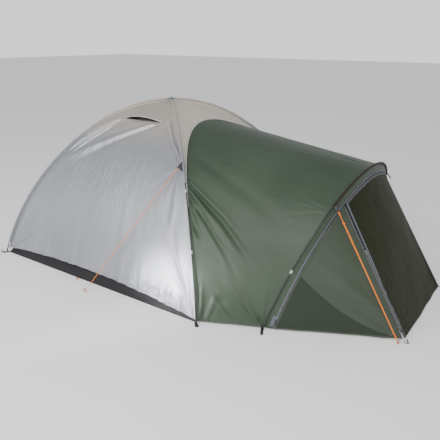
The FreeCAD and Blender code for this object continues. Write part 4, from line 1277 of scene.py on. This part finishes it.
def build_inner_front():
    """The inner tent's front wall, its door, and the window of netting in the door's top."""
    rise = np.sin(np.linspace(0, math.pi / 2, 25)[1:])
    heights = np.concatenate([
        np.linspace(TUB_TOP, DOOR_SILL, 5)[:-1],
        np.linspace(DOOR_SILL, DOOR_SPRING, 14),
        DOOR_SPRING + DOOR_HALF * rise,
        np.linspace(DOOR_TOP, CROWN - INNER_INSET - 0.0005, 31)[1:],
    ])
    outer = out_at_height(heights, INNER_INSET)
    inner = np.minimum(round_top(heights, DOOR_HALF), outer * 0.4)
    points, keep = framed(heights, outer, inner, DOOR_SILL, DOOR_TOP)
    front = cloth("inner_cloth_front", points, INNER, "inner_fabric", "inner_wall_front", keep=keep)

    heights = np.concatenate([
        np.linspace(DOOR_SILL + SEAM, DOOR_SPRING, 14),
        DOOR_SPRING + WINDOW * rise,
        np.linspace(DOOR_SPRING + WINDOW, DOOR_TOP - SEAM, 12)[1:],
    ])
    outer = round_top(heights, DOOR_HALF - SEAM)
    inner = np.minimum(round_top(heights, WINDOW), outer * 0.75)
    points, keep = framed(heights, outer, inner, DOOR_SPRING, DOOR_SPRING + WINDOW)
    body = "inner_door"
    panel = cloth("inner_door_cloth", points, INNER, "inner_fabric", "inner_door", body=body, keep=keep)

    half = WINDOW + NET_OVERLAP
    sill = np.linspace(DOOR_SPRING - NET_OVERLAP, DOOR_SPRING, 4)[:-1]
    heights = np.concatenate([sill, DOOR_SPRING + half * np.sin(np.linspace(0, math.pi / 2, 90))])
    out = np.broadcast_to(out_at_height(heights, INNER_INSET + 0.0027), (151, len(heights)))
    across = np.linspace(-1, 1, 151)[:, None] * round_top(heights, half)
    points = turned(np.stack([across, -out, np.broadcast_to(heights, out.shape)], -1), 1)
    net("inner_door_net", points, "inner_door_mesh", body=body)

    for name, shift, body in (("wall", 0.0065, "root"), ("door", -0.0075, "inner_door")):
        path, facing = doorway(shift, 0.0006)
        tape_name = f"inner_zip_tape_{name}"
        ribbon(tape_name, path, facing, 0.0055, 0, 0.0010, BLACK_TAPE, "inner_fabric", body=body)
        stitches(f"inner_zip_thread_{name}", path, facing, "inner_fabric", body, 0.0012)
    centre = vec(0, 0, CROWN - INNER_INSET - 0.016)
    loop("lantern_ring", centre, X, Z, 0.010, WEBBING, "black_webbing", "lantern_loop", wire=0.0018)


# ---------------------------------------------------------------- sleeves, seams and webbing
def sleeve(name, arch, low, high, material, slot, *replaced):
    """A cloth tunnel round a pole, hemmed at both ends, on the seam that joins it to the ridge."""
    s = np.arange(low, high, 0.006)
    flat = np.stack([s, 0 * s], -1)
    radius = SLEEVE_R * (0.985 + 0.05 * noise(flat, 0.05, 141) + 0.03 * noise(flat, 0.017, 142))
    middle, out = arch.at(s), arch.outward(s)
    for k, end in enumerate((slice(0, 4), slice(-4, None))):
        hem = (f"{name}_hem_{k}", middle[end], SLEEVE_R + 0.0009, material, slot)
        tube(*hem, sides=20, up=out[end])
    ribbon(f"{name}_web", middle, out, 0.0014, -0.0118, 0.0045, material, slot)
    beside = arch.at(s, -0.0102, 0.0016)
    stitches(f"{name}_thread", beside, np.broadcast_to(arch.across, out.shape), slot)
    _, side, out = frames(middle, out)
    angle = np.linspace(0, math.tau, 21)[:, None]
    ring = np.cos(angle) * side[:, None] + np.sin(angle) * out[:, None]
    tunnel = cloth(name, middle[:, None] + ring * radius[:, None, None], material, slot, *replaced)


def ridge(name, arch, low, high, gap, material, slot):
    """The corded seam below a pole."""
    s = np.arange(low, high, STEP)
    tube(name, arch.at(s, -FLY_GAP - gap), RIDGE_R, material, slot, sides=8, up=arch.outward(s))


def build_sleeves():
    for name, pole in (("lower", lower_pole), ("upper", upper_pole)):
        replaced = ("dome_sleeves",) if name == "lower" else ()
        sleeve(f"sleeve_{name}_front", pole, 0.030, 1.120, SILVER, "grey_webbing", *replaced)
        sleeve(f"sleeve_{name}_rear", pole, -2.000, -0.030, SILVER, "grey_webbing")
        end = pole.half_length - POLE_END
        for part, low, high in (("front", CROWN_CLEAR, end), ("rear", -end, -CROWN_CLEAR)):
            ridge(f"ridge_{name}_{part}", pole, low, high, 0.0015, SILVER, "grey_webbing")
    sleeve("sleeve_hoop", hoop, -0.560, 0.560, HOOD, "dark_green_fly", "hoop_sleeve")
    end = hoop.half_length - POLE_END
    ridge("hoop_seam", hoop, -end, end, 0.001, DARK_GREEN, "dark_green_fly")
    path = even(both_halves(NEAR_SEAM[LEG_POINTS - 1 :]), STEP) + vec(0.003, 0, 0.003)
    tube("arch_piping", path, PIPING_R, PIPING, "silver_fly", sides=8, up=vec(1, 0, 0.2))


def build_crown():
    """The cap over the poles' crossing: a domed disc with a knob, tied down by four tapes."""
    top = CROWN + POLE_PASS + 0.0047
    rises = (0, 0.0006, 0.0024, 0.0036, 0.0048, 0.0118, 0.0140)
    radii = (0.0235, 0.0260, 0.0255, 0.0180, 0.0110, 0.0068, 0.0030)
    path = [vec(0, 0, top + rise) for rise in rises]
    tube("crown_disc", path, radii, GREY_WEBBING, "grey_webbing", "crown_cap", sides=48, up=X)
    path = vec((0.018, 0, top), (0.0235, 0, top - 0.003), (0.0245, 0, CROWN - FLY_GAP + 0.001))
    out = vec((0.2, 0, 1), (1, 0, 0.5), (1, 0, 0))
    for k in range(4):
        strip = (turned(path, k), turned(out, k), 0.005, 0, 0.0016)
        ribbon(f"crown_tape_{k}", *strip, GREY_WEBBING, "grey_webbing")


def strap(name, start, end, half, *replaced):
    """Webbing flat on the ground, folded back and sewn at its inner end."""
    slot = "black_webbing"
    path = mix(start, end, np.linspace(0, 1, 21)[:, None])
    path[:, 2] += 0.0002 + 0.0003 * (1 + np.sin(np.linspace(0, 9, 21)))
    ribbon(name, path, Z, half, 0, 0.0017, WEBBING, slot, *replaced)
    ribbon(f"{name}_fold", path[:7], Z, half - 0.0006, 0.0016, 0.0014, WEBBING, slot)
    side = unit(np.cross(end - start, Z)) * (half - 0.0025)
    for label, shift in (("a", side), ("b", -side)):
        stitches(f"{name}_thread_{label}", path[:7] + shift, Z, slot, height=0.0032)


def build_webbing():
    diagonal = HALF_SIDE * math.sqrt(2)
    for k in range(4):
        out = turned(unit(vec(1, 1, 0)), k)
        ends = out * (TUB_HALF * math.sqrt(2) + 0.001), out * (diagonal + 0.042)
        strap(f"corner_strap_{k}", *ends, 0.011, *(("corner_straps",) if k == 0 else ()))
    foot = vec(HOOP_FOOT_X, -HOOP_HALF, 0)
    for label, flip in SIDES:
        first = label == "near"
        ends = [(foot + shift) * flip for shift in (vec(-0.018, 0.028, 0), vec(0.024, -0.058, 0))]
        strap(f"hoop_strap_{label}", *ends, 0.010, *(("hoop_foot_straps",) if first else ()))
        centre = (NEAR_CORNER * vec(1, 1, 0) + unit(vec(1, -1, 0)) * 0.026 + vec(0, 0, 0.004)) * flip
        elastic = loop(f"front_loop_{label}", centre, X, Y, 0.015, ELASTIC, "elastic", wire=0.0018)
        centre = vec(-0.115, -TUB_HALF - 0.016, 0.0032) * flip
        hem = loop(f"hem_loop_{label}", centre, X, Y, 0.014, ORANGE, "orange_cord", wire=0.0016)
        if first:
            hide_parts("front_corner_loops")
            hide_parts("hem_loops")
    flap = lift(sample(header, (0.925, 0.985), (0.45, 1.06), (25, 13)), 0.0036)
    cloth("zip_guard", flap, ZIP, "zip_tape", thickness=0.0016)


def dress_cad():
    """Gives every CAD piece that stays the material of its slot."""
    slots = {part["node"]: part["material_slot"] for part in frame["record"]["subparts"]}
    for name, thing in frame["nodes"].items():
        thing.data.materials.clear()
        thing.data.materials.append(SLOT_MATERIALS[slots[name]])


for build in (
    build_dome_line, build_hoop_line, build_tabs, build_walls, build_gable, build_canopy, build_side_door,
    build_front_door, build_zips, build_tub, build_inner_walls, build_inner_front, build_sleeves, build_crown,
    build_webbing, dress_cad,
):
    build()
